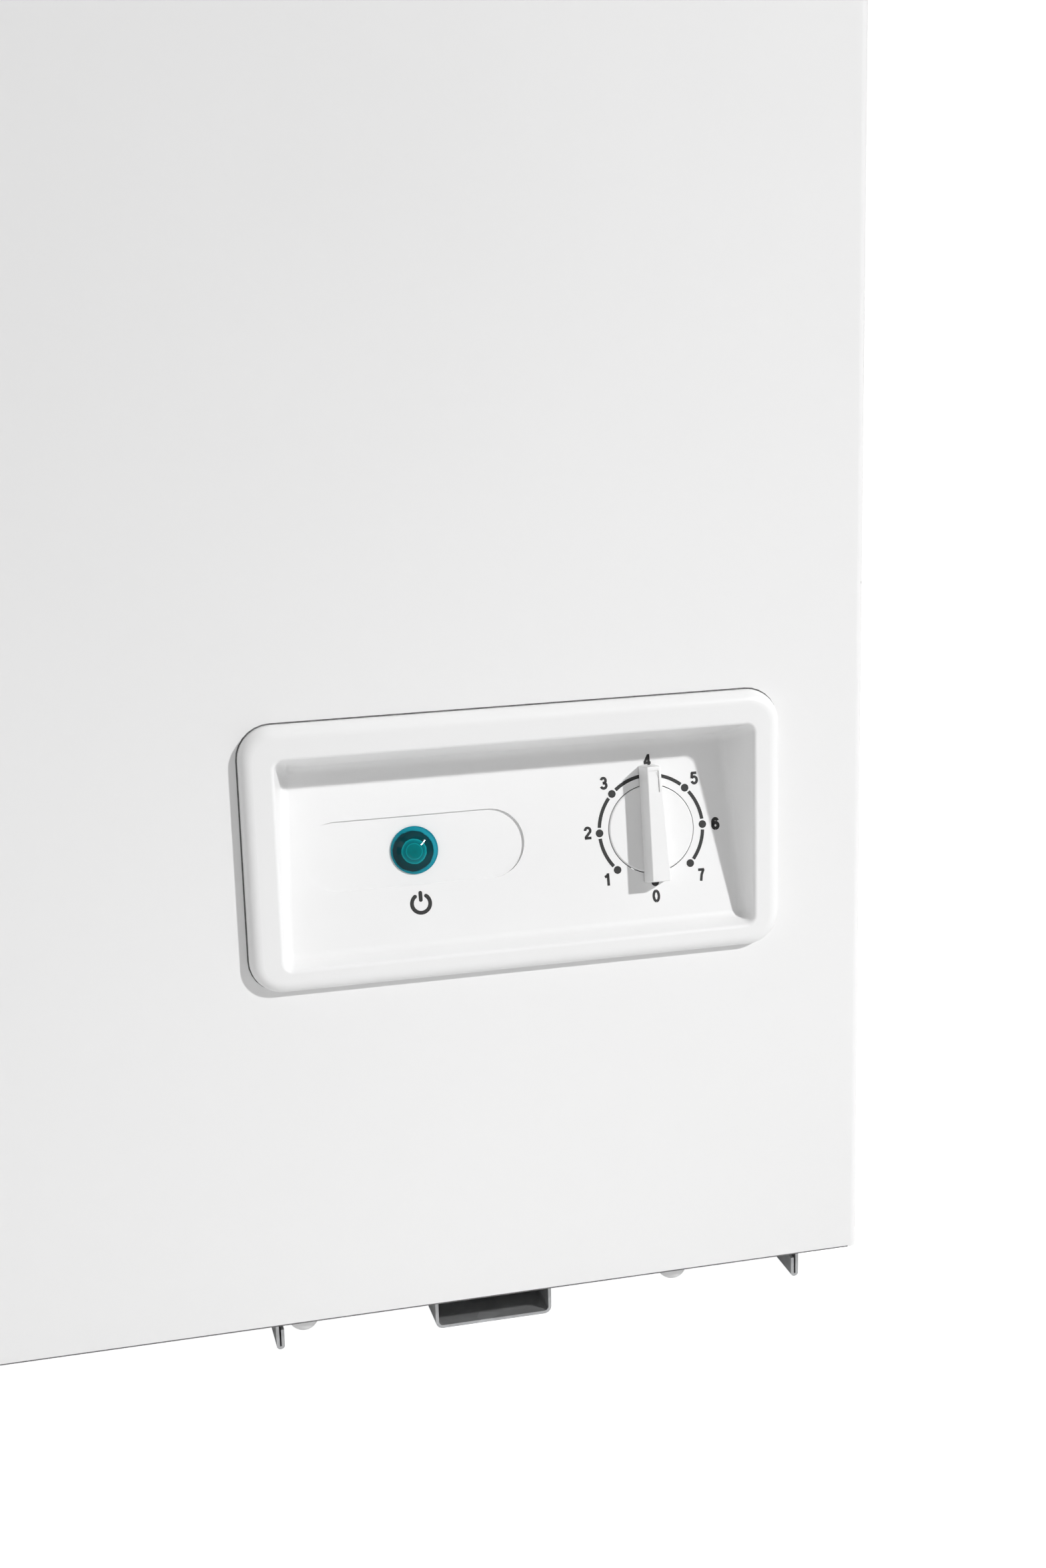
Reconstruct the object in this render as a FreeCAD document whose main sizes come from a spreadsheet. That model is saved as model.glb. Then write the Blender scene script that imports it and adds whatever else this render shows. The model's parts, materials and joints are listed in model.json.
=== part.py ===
"""Chest freezer of about 200 litres with a bottom-right compressor bay.

Frame: the origin is on the floor under the middle of the freezer's box.
+X is to the right seen from the front, -Y is the front and +Z is up.  Millimetres.
"""
import FreeCAD
import Part
import math
import os
import re
import Sketcher
from FreeCAD import Placement, Rotation, Vector

# ---------------------------------------------------------------- driving dimensions

SIZES = {
    # cabinet
    "cab_w": 945,            # width of the steel cabinet
    "cab_d": 500,            # depth, front sheet to rear sheet
    "cab_top": 785,          # height of the rim that the lid closes on
    "total_height": 850,
    "lift": 16,              # floor to the lower edge of the sheets
    "skin": 0.7,             # steel sheet
    "wall": 60,              # side walls, sheet to liner
    "floor_wall": 60,        # bottom, sheet to liner
    "bay_w": 240,            # compressor bay, at the right-hand end
    "bay_top": 280,
    "step_wall": 52,         # foam over and beside the bay
    "edge_round": 3,         # bend radius of the vertical cabinet edges
    "fold": 18,              # folds at the sheets' edges
    "liner_round": 16,
    "handle_out": 26,        # lid handle in front of the cabinet
    "hinge_out": 22,         # hinges behind the cabinet
    # rim frame
    "rim_over": 1.2,         # rim's skirt over the sheets
    "rim_skirt": 15,
    "rim_plate": 2.5,
    "rim_flat": 44,          # width of the rim's top
    "rim_drop": 20,          # depth of the basket ledge below the top
    # lid
    "seal_gap": 8,
    "lid_over": 2,
    "lid_nose": 6,
    "lid_skin": 0.8,
    "lid_corner": 14,
    "lid_edge": 10,
    "lid_fold": 12,
    "tray_in": 72,
    "tray_drop": 14,
    "tray_wall": 1.2,
    "rest_gap": 0.3,         # between pieces that only rest on each other
    # lid handle
    "grip_w": 210,
    "grip_low": 4,
    "grip_tall": 38,
    "grip_wall": 6,
    # hinges
    "hinge_x": 300,
    "hinge_back": 14,        # hinge axis behind the cabinet
    "ear": 8,                # ear radius
    "ear_t": 2.5,
    "hinge_w": 56,
    "pin_r": 3,
    "pin_gap": 0.06,
    # control panel
    "bezel_x": -133.4,       # centre, from the right-hand face
    "bezel_z": 178.9,        # centre, above the sheets' lower edge
    "bezel_w": 198,
    "bezel_tall": 96.9,
    "bezel_out": 6,
    "bezel_corner": 12,
    "bezel_edge": 4.5,
    "lip_left": -220.5,
    "lip_right": -44.8,
    "lip_low": 139,
    "lip_high": 215.5,
    "lip_round": 3.4,
    "lip_edge": 1.5,
    "side_draft": 13,
    "roof_draft": 19.7,
    "sill_draft": 18,
    "tub_wall": 2.2,
    "tilt": 12.17,           # dial plate leans back by this angle
    "plate_y": 7.7,          # plate's depth behind the sheet at plate_z
    "plate_z": 171.9,
    "dial_u": -80.1,         # dial centre, across and up the plate
    "dial_v": 3.6,
    "lens_u": -169.5,
    "lens_v": 3.6,
    "pocket_len": 81.6,
    "pocket_tall": 25.3,
    "pocket_deep": 0.9,
    "disc_r": 16.2,
    "disc_gap": 0.35,
    "disc_t": 2.4,
    "grip_h": 9.2,
    "knob_turn": 4,
    "shaft_r": 3,
    # base
    "base_t": 1.2,
    "base_left": -229.3,     # from the right-hand face
    "base_right": -19.9,
    "base_front": 12.3,
    "hem_w": 3.1,
    "hem_tall": 8,
    "hem_bend": 1.45,
    "channel_left": -168.2,
    "channel_right": -122.4,
    "channel_front": 10.8,
    "channel_flange": 14,
    "screw_y": 10,
    "screw_left": -218.9,
    "screw_right": -73.9,
    # refrigeration circuit
    "cold_r": 4,
    "warm_r": 2.4,
    "tube_cover": 0.6,       # foam between a tube and the sheet beside it
    "pot_r": 74,
    "pot_h": 158,
    # basket
    "basket_w": 260,
    "basket_tall": 210,
    "rim_r": 3,
    "wire_r": 2,
}

doc = FreeCAD.newDocument("chest_freezer")
sheet = doc.addObject("Spreadsheet::Sheet", "sizes")
for row, (word, number) in enumerate(SIZES.items(), 1):
    sheet.set(f"A{row}", word)
    sheet.set(f"B{row}", str(number))
    sheet.setAlias(f"B{row}", word)
doc.recompute()

WORDS = re.compile(r"\b(" + "|".join(sorted(SIZES, key=len, reverse=True)) + r")\b")


def named(text):
    """Write a size expression with the sheet's name before each alias."""
    return WORDS.sub(r"sizes.\1", str(text))


def value(text):
    """Give the number that a size expression stands for."""
    return float(sheet.evalExpression(named(text)))


def bind(item, prop, text):
    """Tie a property to a size expression."""
    item.setExpression(prop, named(text))


# places worked out from the driving dimensions
RIGHT = "(cab_w/2)"
LEFT = "(-cab_w/2)"
FRONT = "((handle_out - hinge_out - cab_d)/2)"
REAR = "((handle_out - hinge_out + cab_d)/2)"
BAY_X = "(cab_w/2 - bay_w)"
LID_LOW = "(cab_top + seal_gap)"
HINGE_Y = f"({REAR} + hinge_back)"
HINGE_Z = "(cab_top + seal_gap/2)"
STEP_X = f"({BAY_X} - step_wall)"
STEP_Z = "(bay_top + step_wall)"
FLOOR_Z = "(lift + floor_wall)"
LEDGE_Z = "(cab_top - rim_drop - rim_plate)"

nodes = {}


def keep(item, name):
    """Make an object a sub-part of the freezer, under its own name."""
    item.Label = name
    nodes[name] = item
    return item


# ---------------------------------------------------------------- building blocks


def block(x, y, z, name="block"):
    """A box between two size expressions along each axis."""
    item = doc.addObject("Part::Box", name)
    spans = zip(("Length", "Width", "Height"), "xyz", (x, y, z))
    for prop, axis, (low, high) in spans:
        bind(item, prop, f"({high}) - ({low})")
        bind(item, f"Placement.Base.{axis}", low)
    return item


TURNS = {
    "x": Rotation(Vector(0, 1, 0), 90),
    "y": Rotation(Vector(1, 0, 0), -90),
    "z": Rotation(),
}


def rod(axis, start, radius, length, name="rod"):
    """A cylinder that starts at a point and runs along +x, +y or +z."""
    item = doc.addObject("Part::Cylinder", name)
    item.Placement = Placement(Vector(), TURNS[axis])
    for letter, text in zip("xyz", start):
        bind(item, f"Placement.Base.{letter}", text)
    bind(item, "Radius", radius)
    bind(item, "Height", length)
    return item


def fused(*items):
    """Join solids into one."""
    item = doc.addObject("Part::MultiFuse", "fused")
    item.Shapes = list(items)
    item.Refine = True
    return item


def cut(base, *tools):
    """Take solids away from another."""
    for tool in tools:
        item = doc.addObject("Part::Cut", "cut")
        item.Base = base
        item.Tool = tool
        base = item
    return base


def group(*items):
    """Several separate solids in one sub-part."""
    item = doc.addObject("Part::Compound", "group")
    item.Links = list(items)
    return item


def inset_block(inset, z):
    """A box at one distance inside all four of the cabinet's faces."""
    return block((f"{LEFT} + ({inset})", f"{RIGHT} - ({inset})"),
                 (f"{FRONT} + ({inset})", f"{REAR} - ({inset})"), z)


def ring(outside, inside, z):
    """A rectangular ring between two distances inside the cabinet's faces."""
    low, high = z
    return cut(inset_block(outside, z), inset_block(inside, (f"{low} - 1", f"{high} + 1")))


PLANES = {"z": "XY_Plane", "y": "XZ_Plane", "x": "YZ_Plane"}


def sketched(body, plane, corners):
    """A closed outline of straight runs, with every corner tied to the sheet."""
    sketch = body.newObject("Sketcher::SketchObject", "outline")
    role = [part for part in body.Origin.OriginFeatures if part.Role == plane][0]
    sketch.AttachmentSupport = [(role, "")]
    sketch.MapMode = "FlatFace"
    places = [Vector(value(across), value(up), 0) for across, up in corners]
    count = len(places)
    for index, place in enumerate(places):
        line = Part.LineSegment(place, places[(index + 1) % count])
        sketch.addGeometry(line, False)
    for index in range(count):
        following = (index + 1) % count
        sketch.addConstraint(Sketcher.Constraint("Coincident", index, 2, following, 1))
    for index, (across, up) in enumerate(corners):
        tie_point(sketch, index, "DistanceX", across, places[index].x)
        tie_point(sketch, index, "DistanceY", up, places[index].y)
    return sketch


def tie_point(sketch, index, kind, text, number):
    """Tie one coordinate of a corner to a size expression."""
    constraint = Sketcher.Constraint(kind, -1, 1, index, 1, number)
    place = sketch.addConstraint(constraint)
    bind(sketch, f"Constraints[{place}]", text)


def pad(axis, corners, low, high, rounds=(), name="pad"):
    """An outline extruded along an axis between two places, with rounded edges.

    rounds is a list of (radius expression, test of an edge's middle and direction).
    """
    body = doc.addObject("PartDesign::Body", name)
    sketch = sketched(body, PLANES[axis], corners)
    feature = body.newObject("PartDesign::Pad", "pad")
    feature.Profile = sketch
    bind(feature, "Length", f"({high}) - ({low})")
    bind(body, f"Placement.Base.{axis}", high if axis == "y" else low)
    doc.recompute()
    for radius, test in rounds:
        feature = rounded(body, feature, radius, test)
    return body


def rounded(body, feature, radius, test):
    """Round the edges of a body's feature that a test picks."""
    edges = feature.Shape.Edges
    offset = body.Placement.Base
    chosen = []
    for index, edge in enumerate(edges, 1):
        middle = edge.CenterOfMass + offset
        along = edge.tangentAt((edge.FirstParameter + edge.LastParameter) / 2)
        if test(middle, along):
            chosen.append(f"Edge{index}")
    if not chosen:
        raise RuntimeError("no edges to round on " + body.Name)
    fillet = body.newObject("PartDesign::Fillet", "rounds")
    fillet.Base = (feature, chosen)
    bind(fillet, "Radius", radius)
    doc.recompute()
    return fillet


def turned(corners, name="turned"):
    """An outline of (radius, height) corners turned about the z axis."""
    body = doc.addObject("PartDesign::Body", name)
    sketch = sketched(body, PLANES["y"], corners)
    feature = body.newObject("PartDesign::Revolution", "turn")
    feature.Profile = sketch
    feature.ReferenceAxis = (sketch, ["V_Axis"])
    feature.Angle = 360
    doc.recompute()
    return body


def placed(item, axis, start):
    """Stand a turned body up along +x, +y, +z or their opposites."""
    turn = TURNS[axis[-1]]
    if axis[0] == "-":
        turn = Rotation(Vector(0, 0, 1) if axis[-1] != "z" else Vector(1, 0, 0), 180) * turn
    item.Placement = Placement(Vector(), turn)
    for letter, text in zip("xyz", start):
        bind(item, f"Placement.Base.{letter}", text)
    return item


def tube_path(points, bend):
    """Straight runs joined by tangent arcs of one bend radius, or less where short."""
    edges = []
    start = points[0]
    for before, corner, after in zip(points, points[1:], points[2:]):
        first = (before - corner).normalize()
        second = (after - corner).normalize()
        half = first.getAngle(second) / 2
        room = 0.45 * min((before - corner).Length, (after - corner).Length)
        trim = min(bend / math.tan(half), room)
        radius = trim * math.tan(half)
        enter = corner + first * trim
        leave = corner + second * trim
        inward = (first + second).normalize()
        middle = corner + inward * (radius / math.sin(half) - radius)
        edges.append(Part.LineSegment(start, enter).toShape())
        edges.append(Part.Arc(enter, middle, leave).toShape())
        start = leave
    edges.append(Part.LineSegment(start, points[-1]).toShape())
    return Part.Wire(edges)


def bent(points, radius, bend, closed=False):
    """A solid rod bent along points."""
    points = [Vector(*point) for point in points]
    if closed:
        middle = (points[0] + points[1]) * 0.5
        points = [middle] + points[1:] + [points[0], middle]
    path = tube_path(points, bend)
    heading = path.Edges[0].tangentAt(path.Edges[0].FirstParameter)
    section = Part.Wire(Part.makeCircle(radius, points[0], heading))
    solid = path.makePipeShell([section], True, False)
    item = doc.addObject("Part::Feature", "bent")
    item.Shape = solid
    return item


def screws(axis, spots, head_r=4.5, head_h=2.2, shank_r=2, shank=8):
    """Pan-head screws: the head's seat is at each spot and the shank runs along axis."""
    items = []
    for spot in spots:
        corners = [(0, -head_h), (head_r * 0.55, -head_h), (head_r * 0.9, -head_h * 0.62),
                   (head_r, -head_h * 0.2), (head_r, 0), (shank_r, 0),
                   (shank_r, shank - 1.5), (0.4, shank), (0, shank)]
        items.append(placed(turned(corners, "screw"), axis, spot))
    return items


def drills(axis, spots, radius=2.05, length=9):
    """Clearance holes for a set of screws."""
    turn = axis[-1]
    reach = -length if axis[0] == "-" else -0.5
    tools = []
    for spot in spots:
        start = list(spot)
        place = "xyz".index(turn)
        start[place] = f"{start[place]} + {reach}"
        tools.append(rod(turn, start, radius, length + 0.5))
    return fused(*tools) if len(tools) > 1 else tools[0]


def upright(middle, along):
    """Edges that run straight up."""
    return abs(along.z) > 0.99


def near(number, text, slack=0.05):
    """A coordinate is at a place."""
    return abs(number - value(text)) < slack


# ---------------------------------------------------------------- base of the cabinet


def runner(left, right, front, name):
    """A folded channel on the floor with flanges spot-welded under the cabinet."""
    top = "lift - base_t"
    corners = [
        (f"{left} - channel_flange", top), (f"{left} - channel_flange", f"{top} - base_t"),
        (left, f"{top} - base_t"), (left, 0), (right, 0), (right, f"{top} - base_t"),
        (f"{right} + channel_flange", f"{top} - base_t"), (f"{right} + channel_flange", top),
        (f"{right} - base_t", top), (f"{right} - base_t", "base_t"),
        (f"{left} + base_t", "base_t"), (f"{left} + base_t", top)]

    def outer_bend(middle, along):
        return abs(along.y) > 0.99 and near(middle.z, 0)

    def inner_bend(middle, along):
        return abs(along.y) > 0.99 and near(middle.z, "base_t")

    return pad("y", corners, f"{FRONT} + {front}", f"{REAR} - {front}",
               [("base_t*2.4", outer_bend), ("base_t*1.4", inner_bend)], name)


def make_base():
    """Compressor base plate with hemmed feet, its channel and the left-hand runners."""
    left = f"({RIGHT} + base_left)"
    right = f"({RIGHT} + base_right)"
    low = "lift - base_t"
    inner = "(hem_w - base_t)"
    corners = [
        (f"{left} + {inner}", "hem_tall"), (f"{left} + {inner}", "base_t"),
        (f"{left} + base_t", "base_t"), (f"{left} + base_t", low),
        (f"{right} - base_t", low), (f"{right} - base_t", "base_t"),
        (f"{right} - {inner}", "base_t"), (f"{right} - {inner}", "hem_tall"),
        (f"{right} - hem_w", "hem_tall"), (f"{right} - hem_w", 0), (right, 0),
        (right, "lift"), (left, "lift"), (left, 0), (f"{left} + hem_w", 0),
        (f"{left} + hem_w", "hem_tall")]

    def hem(middle, along):
        return abs(along.y) > 0.99 and near(middle.z, 0)

    def shoulder(middle, along):
        return abs(along.y) > 0.99 and near(middle.z, "lift")

    plate = pad("y", corners, f"{FRONT} + base_front", f"{REAR} - base_front",
                [("hem_bend", hem), ("base_t*1.5", shoulder)], "base_plate")
    tab = block((f"{left} + 4", f"{right} - 4"), (f"{FRONT} + 4", f"{REAR} - 4"),
                (low, "lift"))
    spots = [(f"{RIGHT} + {word}", y, low)
             for word in ("screw_left", "screw_right")
             for y in (f"{FRONT} + screw_y", f"{REAR} - screw_y")]
    bolts = [(x, y, low) for x, y in compressor_spots()]
    plate = cut(fused(plate, tab), drills("z", spots), drills("z", bolts, 3.05, 4))
    keep(plate, "base_plate")
    channel = runner(f"({RIGHT} + channel_left)", f"({RIGHT} + channel_right)",
                     "channel_front", "support_channel")
    keep(channel, "support_channel")
    runners = []
    for start in ("28", "210"):
        side = f"({LEFT} + {start})"
        piece = runner(side, f"({side} + 45)", "channel_front", "runner")
        spacer = block((f"{side} - channel_flange", f"{side} + 45 + channel_flange"),
                       (f"{FRONT} + 4", f"{REAR} - 4"), (low, "lift"))
        runners.append(fused(piece, spacer))
    left_spots = [(f"{LEFT} + {x}", y, f"{low} - base_t") for x in ("20", "264")
                  for y in (f"{FRONT} + screw_y", f"{REAR} - screw_y")]
    left_holes = drills("z", left_spots)
    keep(cut(group(*runners), left_holes), "left_runners")
    heads = screws("z", spots + left_spots, 5.2, 2.6)
    keep(group(*heads), "base_screws")
    return spots + left_spots


# ---------------------------------------------------------------- compressor bay contents


POT_X = f"({RIGHT} - 122)"
POT_Y = f"({REAR} - 165)"
FOOT_X = 80
FOOT_Y = 60


def compressor_spots():
    """Centres of the four compressor bolts."""
    return [(f"{POT_X} + {across}", f"{POT_Y} + {back}")
            for across in (-FOOT_X, FOOT_X) for back in (-FOOT_Y, FOOT_Y)]


def make_compressor():
    """Hermetic pot on a leg plate, grommets and bolts."""
    seat = "lift + 22"
    pot = turned([
        (0, 0), ("pot_r*0.62", 0), ("pot_r*0.86", 8), ("pot_r*0.97", 26), ("pot_r", 60),
        ("pot_r", 78), ("pot_r+3.5", 78), ("pot_r+3.5", 82), ("pot_r", 82),
        ("pot_r*0.99", 108), ("pot_r*0.9", 136), ("pot_r*0.66", "pot_h-6"),
        ("pot_r*0.3", "pot_h"), (0, "pot_h")], "pot")
    placed(pot, "z", (POT_X, POT_Y, f"{seat} + 3"))
    pedestal = block((f"{POT_X} + pot_r*0.62", f"{POT_X} + pot_r + 8"),
                     (f"{POT_Y} - 14", f"{POT_Y} + 14"), (f"{seat} + 70", f"{seat} + 118"))
    keep(fused(pot, pedestal), "compressor_shell")
    reach_x = FOOT_X + 15
    reach_y = FOOT_Y + 15
    corners = [(f"{POT_X} - {reach_x}", f"{POT_Y} - {reach_y}"),
               (f"{POT_X} + {reach_x}", f"{POT_Y} - {reach_y}"),
               (f"{POT_X} + {reach_x}", f"{POT_Y} + {reach_y}"),
               (f"{POT_X} - {reach_x}", f"{POT_Y} + {reach_y}")]
    legs = pad("z", corners, seat, f"{seat} + 3", [("14", upright)], "legs")
    holes = [rod("z", (x, y, f"{seat} - 1"), 8.1, 6) for x, y in compressor_spots()]
    keep(cut(legs, *holes), "compressor_legs")
    grommets = []
    bolts = []
    for x, y in compressor_spots():
        grommet = turned([(3.6, 0), (12, 0), (12, 20), (8, 20), (8, 23), (11, 23),
                          (10, 29), (3.6, 29)], "grommet")
        grommets.append(placed(grommet, "z", (x, y, "lift + 2")))
        bolt = turned([(0, -3), (7, -3), (7, 0), (3, 0), (3, 32.4), (9, 32.4), (9, 34),
                       (5.5, 34), (5.5, 39), (3, 39), (3, 42), (0, 42)], "bolt")
        bolts.append(placed(bolt, "z", (x, y, "lift - base_t")))
    washers = [cut(rod("z", (x, y, "lift"), 12, 2), rod("z", (x, y, "lift - 1"), 3.05, 5))
               for x, y in compressor_spots()]
    keep(group(*grommets), "compressor_grommets")
    keep(group(*bolts), "compressor_bolts")
    keep(group(*washers), "compressor_washers")


def make_electrics():
    """Start relay and terminal cover on the compressor, and the mains terminal block."""
    side = f"({POT_X} + pot_r + 8)"
    middle = "lift + 22 + 94"
    relay = block((side, f"{side} + 16"), (f"{POT_Y} - 18", f"{POT_Y} + 18"),
                  (f"{middle} - 22", f"{middle} + 22"))
    keep(relay, "start_relay")
    outer = block((f"{side} + rest_gap", f"{side} + 24"), (f"{POT_Y} - 30", f"{POT_Y} + 30"),
                  (f"{middle} - 34", f"{middle} + 34"))
    inner = block((f"{side} - 1", f"{side} + 22"), (f"{POT_Y} - 28", f"{POT_Y} + 28"),
                  (f"{middle} - 32", f"{middle} + 32"))
    keep(cut(outer, inner), "terminal_cover")
    base_x = f"({BAY_X} + skin)"
    rear_y = f"({REAR} - 90)"
    strip = block((base_x, f"{base_x} + 18"), (f"{rear_y} - 30", f"{rear_y} + 30"),
                  ("200", "226"))
    wells = [rod("x", (f"{base_x} + 8", f"{rear_y} + {y}", "213"), 4, 14)
             for y in (-20, 0, 20)]
    keep(cut(strip, *wells), "terminal_block")


# ---------------------------------------------------------------- cabinet


def liner_volume(inset, below, above, rounding, name):
    """The storage space: a well beside the bay and a shelf over it."""
    left = f"{LEFT} + wall + ({inset})"
    right = f"{RIGHT} - wall - ({inset})"
    step = f"{STEP_X} - ({inset})"
    corners = [(left, f"{FLOOR_Z} + {below}"), (step, f"{FLOOR_Z} + {below}"),
               (step, f"{STEP_Z} + {below}"), (right, f"{STEP_Z} + {below}"),
               (right, f"{LEDGE_Z} + {above}"), (left, f"{LEDGE_Z} + {above}")]
    front = f"{FRONT} + wall + ({inset})"
    rear = f"{REAR} - wall - ({inset})"

    def corner(middle, along):
        at_end = near(middle.x, left) or near(middle.x, right)
        return upright(middle, along) and at_end

    return pad("y", corners, front, rear, [(rounding, corner)], name)


def make_cabinet(coils, base_spots):
    """Sheets, liner, foam and rim."""
    top = "cab_top - rim_plate"
    corners = [(LEFT, FRONT), (RIGHT, FRONT), (RIGHT, f"{REAR} - skin"),
               (LEFT, f"{REAR} - skin")]

    def front_edge(middle, along):
        return upright(middle, along) and near(middle.y, FRONT)

    def inner_front(middle, along):
        return upright(middle, along) and near(middle.y, f"{FRONT} + skin")

    outside = pad("z", corners, "lift", top, [("edge_round", front_edge)], "sheet")
    inset = [(f"{LEFT} + skin", f"{FRONT} + skin"), (f"{RIGHT} - skin", f"{FRONT} + skin"),
             (f"{RIGHT} - skin", f"{REAR} - 2*skin"), (f"{LEFT} + skin", f"{REAR} - 2*skin")]
    inside = pad("z", inset, "lift + skin", f"{top} - skin",
                 [("edge_round - skin", inner_front)], "space")
    mouths = [
        block((f"{LEFT} + fold", f"{RIGHT} - fold"), (f"{FRONT} + fold", f"{REAR} - fold"),
              ("lift - 1", "cab_top + 1")),
        block((f"{LEFT} + fold", f"{RIGHT} - fold"), (f"{REAR} - 5", f"{REAR} + 1"),
              ("lift - 1", f"{top} - fold")),
        control_hole(), grille_hole(),
        rod("y", (DRAIN_X, f"{FRONT} - 1", DRAIN_Z), 10.1, 6),
        drills("z", base_spots), drills("-y", cover_spots(), 2.05, 9)]
    keep(cut(outside, inside, *mouths), "outer_shell")

    hinge_holes = drills("-y", bracket_spots(), 2.05, 14)
    rear = block((f"{LEFT} + 1", f"{RIGHT} - 1"), (f"{REAR} - skin", REAR),
                 ("lift + 0.5", f"{top} - 1"))
    bay_hole = block((f"{BAY_X} + 14", f"{RIGHT} - 14"), (f"{REAR} - 5", f"{REAR} + 1"),
                     ("lift - 1", "bay_top - 14"))
    cover_holes = drills("-y", cover_spots(), 2.05, 9)
    keep(cut(rear, bay_hole, hinge_holes, cover_holes), "rear_panel")

    depth = (f"{FRONT} + skin + 0.05", f"{REAR} - 2*skin - 0.05")
    bottom = block((f"{LEFT} + skin + 2", BAY_X), depth, ("lift + skin", "lift + 2*skin"))
    keep(cut(bottom, drills("z", base_spots[4:])), "bottom_panel")
    corners = [(BAY_X, "lift + skin"), (f"{BAY_X} + skin", "lift + skin"),
               (f"{BAY_X} + skin", "bay_top - skin"),
               (f"{RIGHT} - skin - 0.05", "bay_top - skin"),
               (f"{RIGHT} - skin - 0.05", "bay_top"), (BAY_X, "bay_top")]
    bay = pad("y", corners, *depth, name="bay")
    keep(cut(bay, *coils), "bay_panel")

    outer_liner = liner_volume("0", "0", "0", "liner_round", "liner_outside")
    inner_liner = liner_volume("skin", "skin", "1", "liner_round - skin", "liner_inside")
    drain_hole = rod("z", (DRAIN_X, DRAIN_Y, f"{FLOOR_Z} - 5"), 10.1, 10)
    keep(cut(outer_liner, inner_liner, drain_hole), "inner_liner")

    corners = [(f"{LEFT} + skin", "lift + 2*skin"), (BAY_X, "lift + 2*skin"),
               (BAY_X, "bay_top"), (f"{RIGHT} - skin", "bay_top"),
               (f"{RIGHT} - skin", f"{top} - skin - 0.2"),
               (f"{LEFT} + skin", f"{top} - skin - 0.2")]
    foam = pad("y", corners, f"{FRONT} + skin", f"{REAR} - 2*skin",
               [("edge_round - skin",
                 lambda middle, along: upright(middle, along)
                 and near(middle.y, f"{FRONT} + skin") and not near(middle.x, BAY_X))],
               "foam")
    ledge = block((f"{LEFT} + rim_flat - rim_plate", f"{RIGHT} - rim_flat + rim_plate"),
                  (f"{FRONT} + rim_flat - rim_plate", f"{REAR} - rim_flat + rim_plate"),
                  ("cab_top - rim_drop - rim_plate", "cab_top"))
    filled = liner_volume("0", "0", "0", "liner_round", "liner_space")
    keep(cut(foam, filled, ledge, *coils, *drain_tools(),
             drills("z", base_spots[4:]), drills("-y", bracket_spots(), 2.05, 14)),
         "foam_insulation")
    make_rim()


def front_rounded(inset, z, radius):
    """A block inset from the cabinet's faces, with its two front edges rounded."""
    low_y = f"{FRONT} + ({inset})"
    corners = [(f"{LEFT} + ({inset})", low_y), (f"{RIGHT} - ({inset})", low_y),
               (f"{RIGHT} - ({inset})", f"{REAR} - ({inset})"),
               (f"{LEFT} + ({inset})", f"{REAR} - ({inset})")]

    def front_edge(middle, along):
        return upright(middle, along) and near(middle.y, low_y)

    return pad("z", corners, *z, [(radius, front_edge)], "rounded_block")


def all_rounded(inset, z, radius):
    """A block inset from the cabinet's faces, with its four upright edges rounded."""
    low_y = f"{FRONT} + ({inset})"
    high_y = f"{REAR} - ({inset})"
    left = f"{LEFT} + ({inset})"
    right = f"{RIGHT} - ({inset})"
    corners = [(left, low_y), (right, low_y), (right, high_y), (left, high_y)]
    return pad("z", corners, *z, [(radius, upright)], "soft_block")


def make_rim():
    """Plastic frame that caps the walls, with the gasket's flat and a basket ledge."""
    ledge_top = "cab_top - rim_drop"
    skirt_low = f"{ledge_top} - 18"
    mouth = all_rounded("wall + skin + rim_plate", (f"{skirt_low} - 1", f"{ledge_top} + 1"),
                        "liner_round - skin - rim_plate")
    cap = cut(
        front_rounded("-rim_over", ("cab_top - rim_skirt", "cab_top"), "edge_round + rim_over"),
        front_rounded("0", ("cab_top - rim_skirt - 1", "cab_top - rim_plate"), "edge_round"),
        inset_block("rim_flat", ("cab_top - rim_skirt - 1", "cab_top + 1")))
    parts = [
        cap,
        ring("rim_flat - rim_plate", "rim_flat", (LEDGE_Z, "cab_top")),
        inset_block("rim_flat - rim_plate", (LEDGE_Z, ledge_top)),
        all_rounded("wall + skin + 0.05", (skirt_low, ledge_top),
                    "liner_round - skin - 0.05")]
    keep(cut(fused(*parts), mouth), "top_frame")


# ---------------------------------------------------------------- drain

DRAIN_X = f"({LEFT} + 170)"
DRAIN_Y = f"({FRONT} + 115)"
DRAIN_Z = "(lift + 26)"


def drain_elbow():
    """The square elbow under the storage floor."""
    return block((f"{DRAIN_X} - 11", f"{DRAIN_X} + 11"), (f"{DRAIN_Y} - 11", f"{DRAIN_Y} + 11"),
                 (f"{DRAIN_Z} - 11", f"{DRAIN_Z} + 11"))


def drain_tools():
    """Space that the drain pipe takes in the foam."""
    return [
        rod("z", (DRAIN_X, DRAIN_Y, DRAIN_Z), 10, f"{FLOOR_Z} - {DRAIN_Z} + 1"),
        rod("y", (DRAIN_X, f"{FRONT} - 1", DRAIN_Z), 10, f"{DRAIN_Y} - {FRONT}"),
        drain_elbow()]


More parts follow.
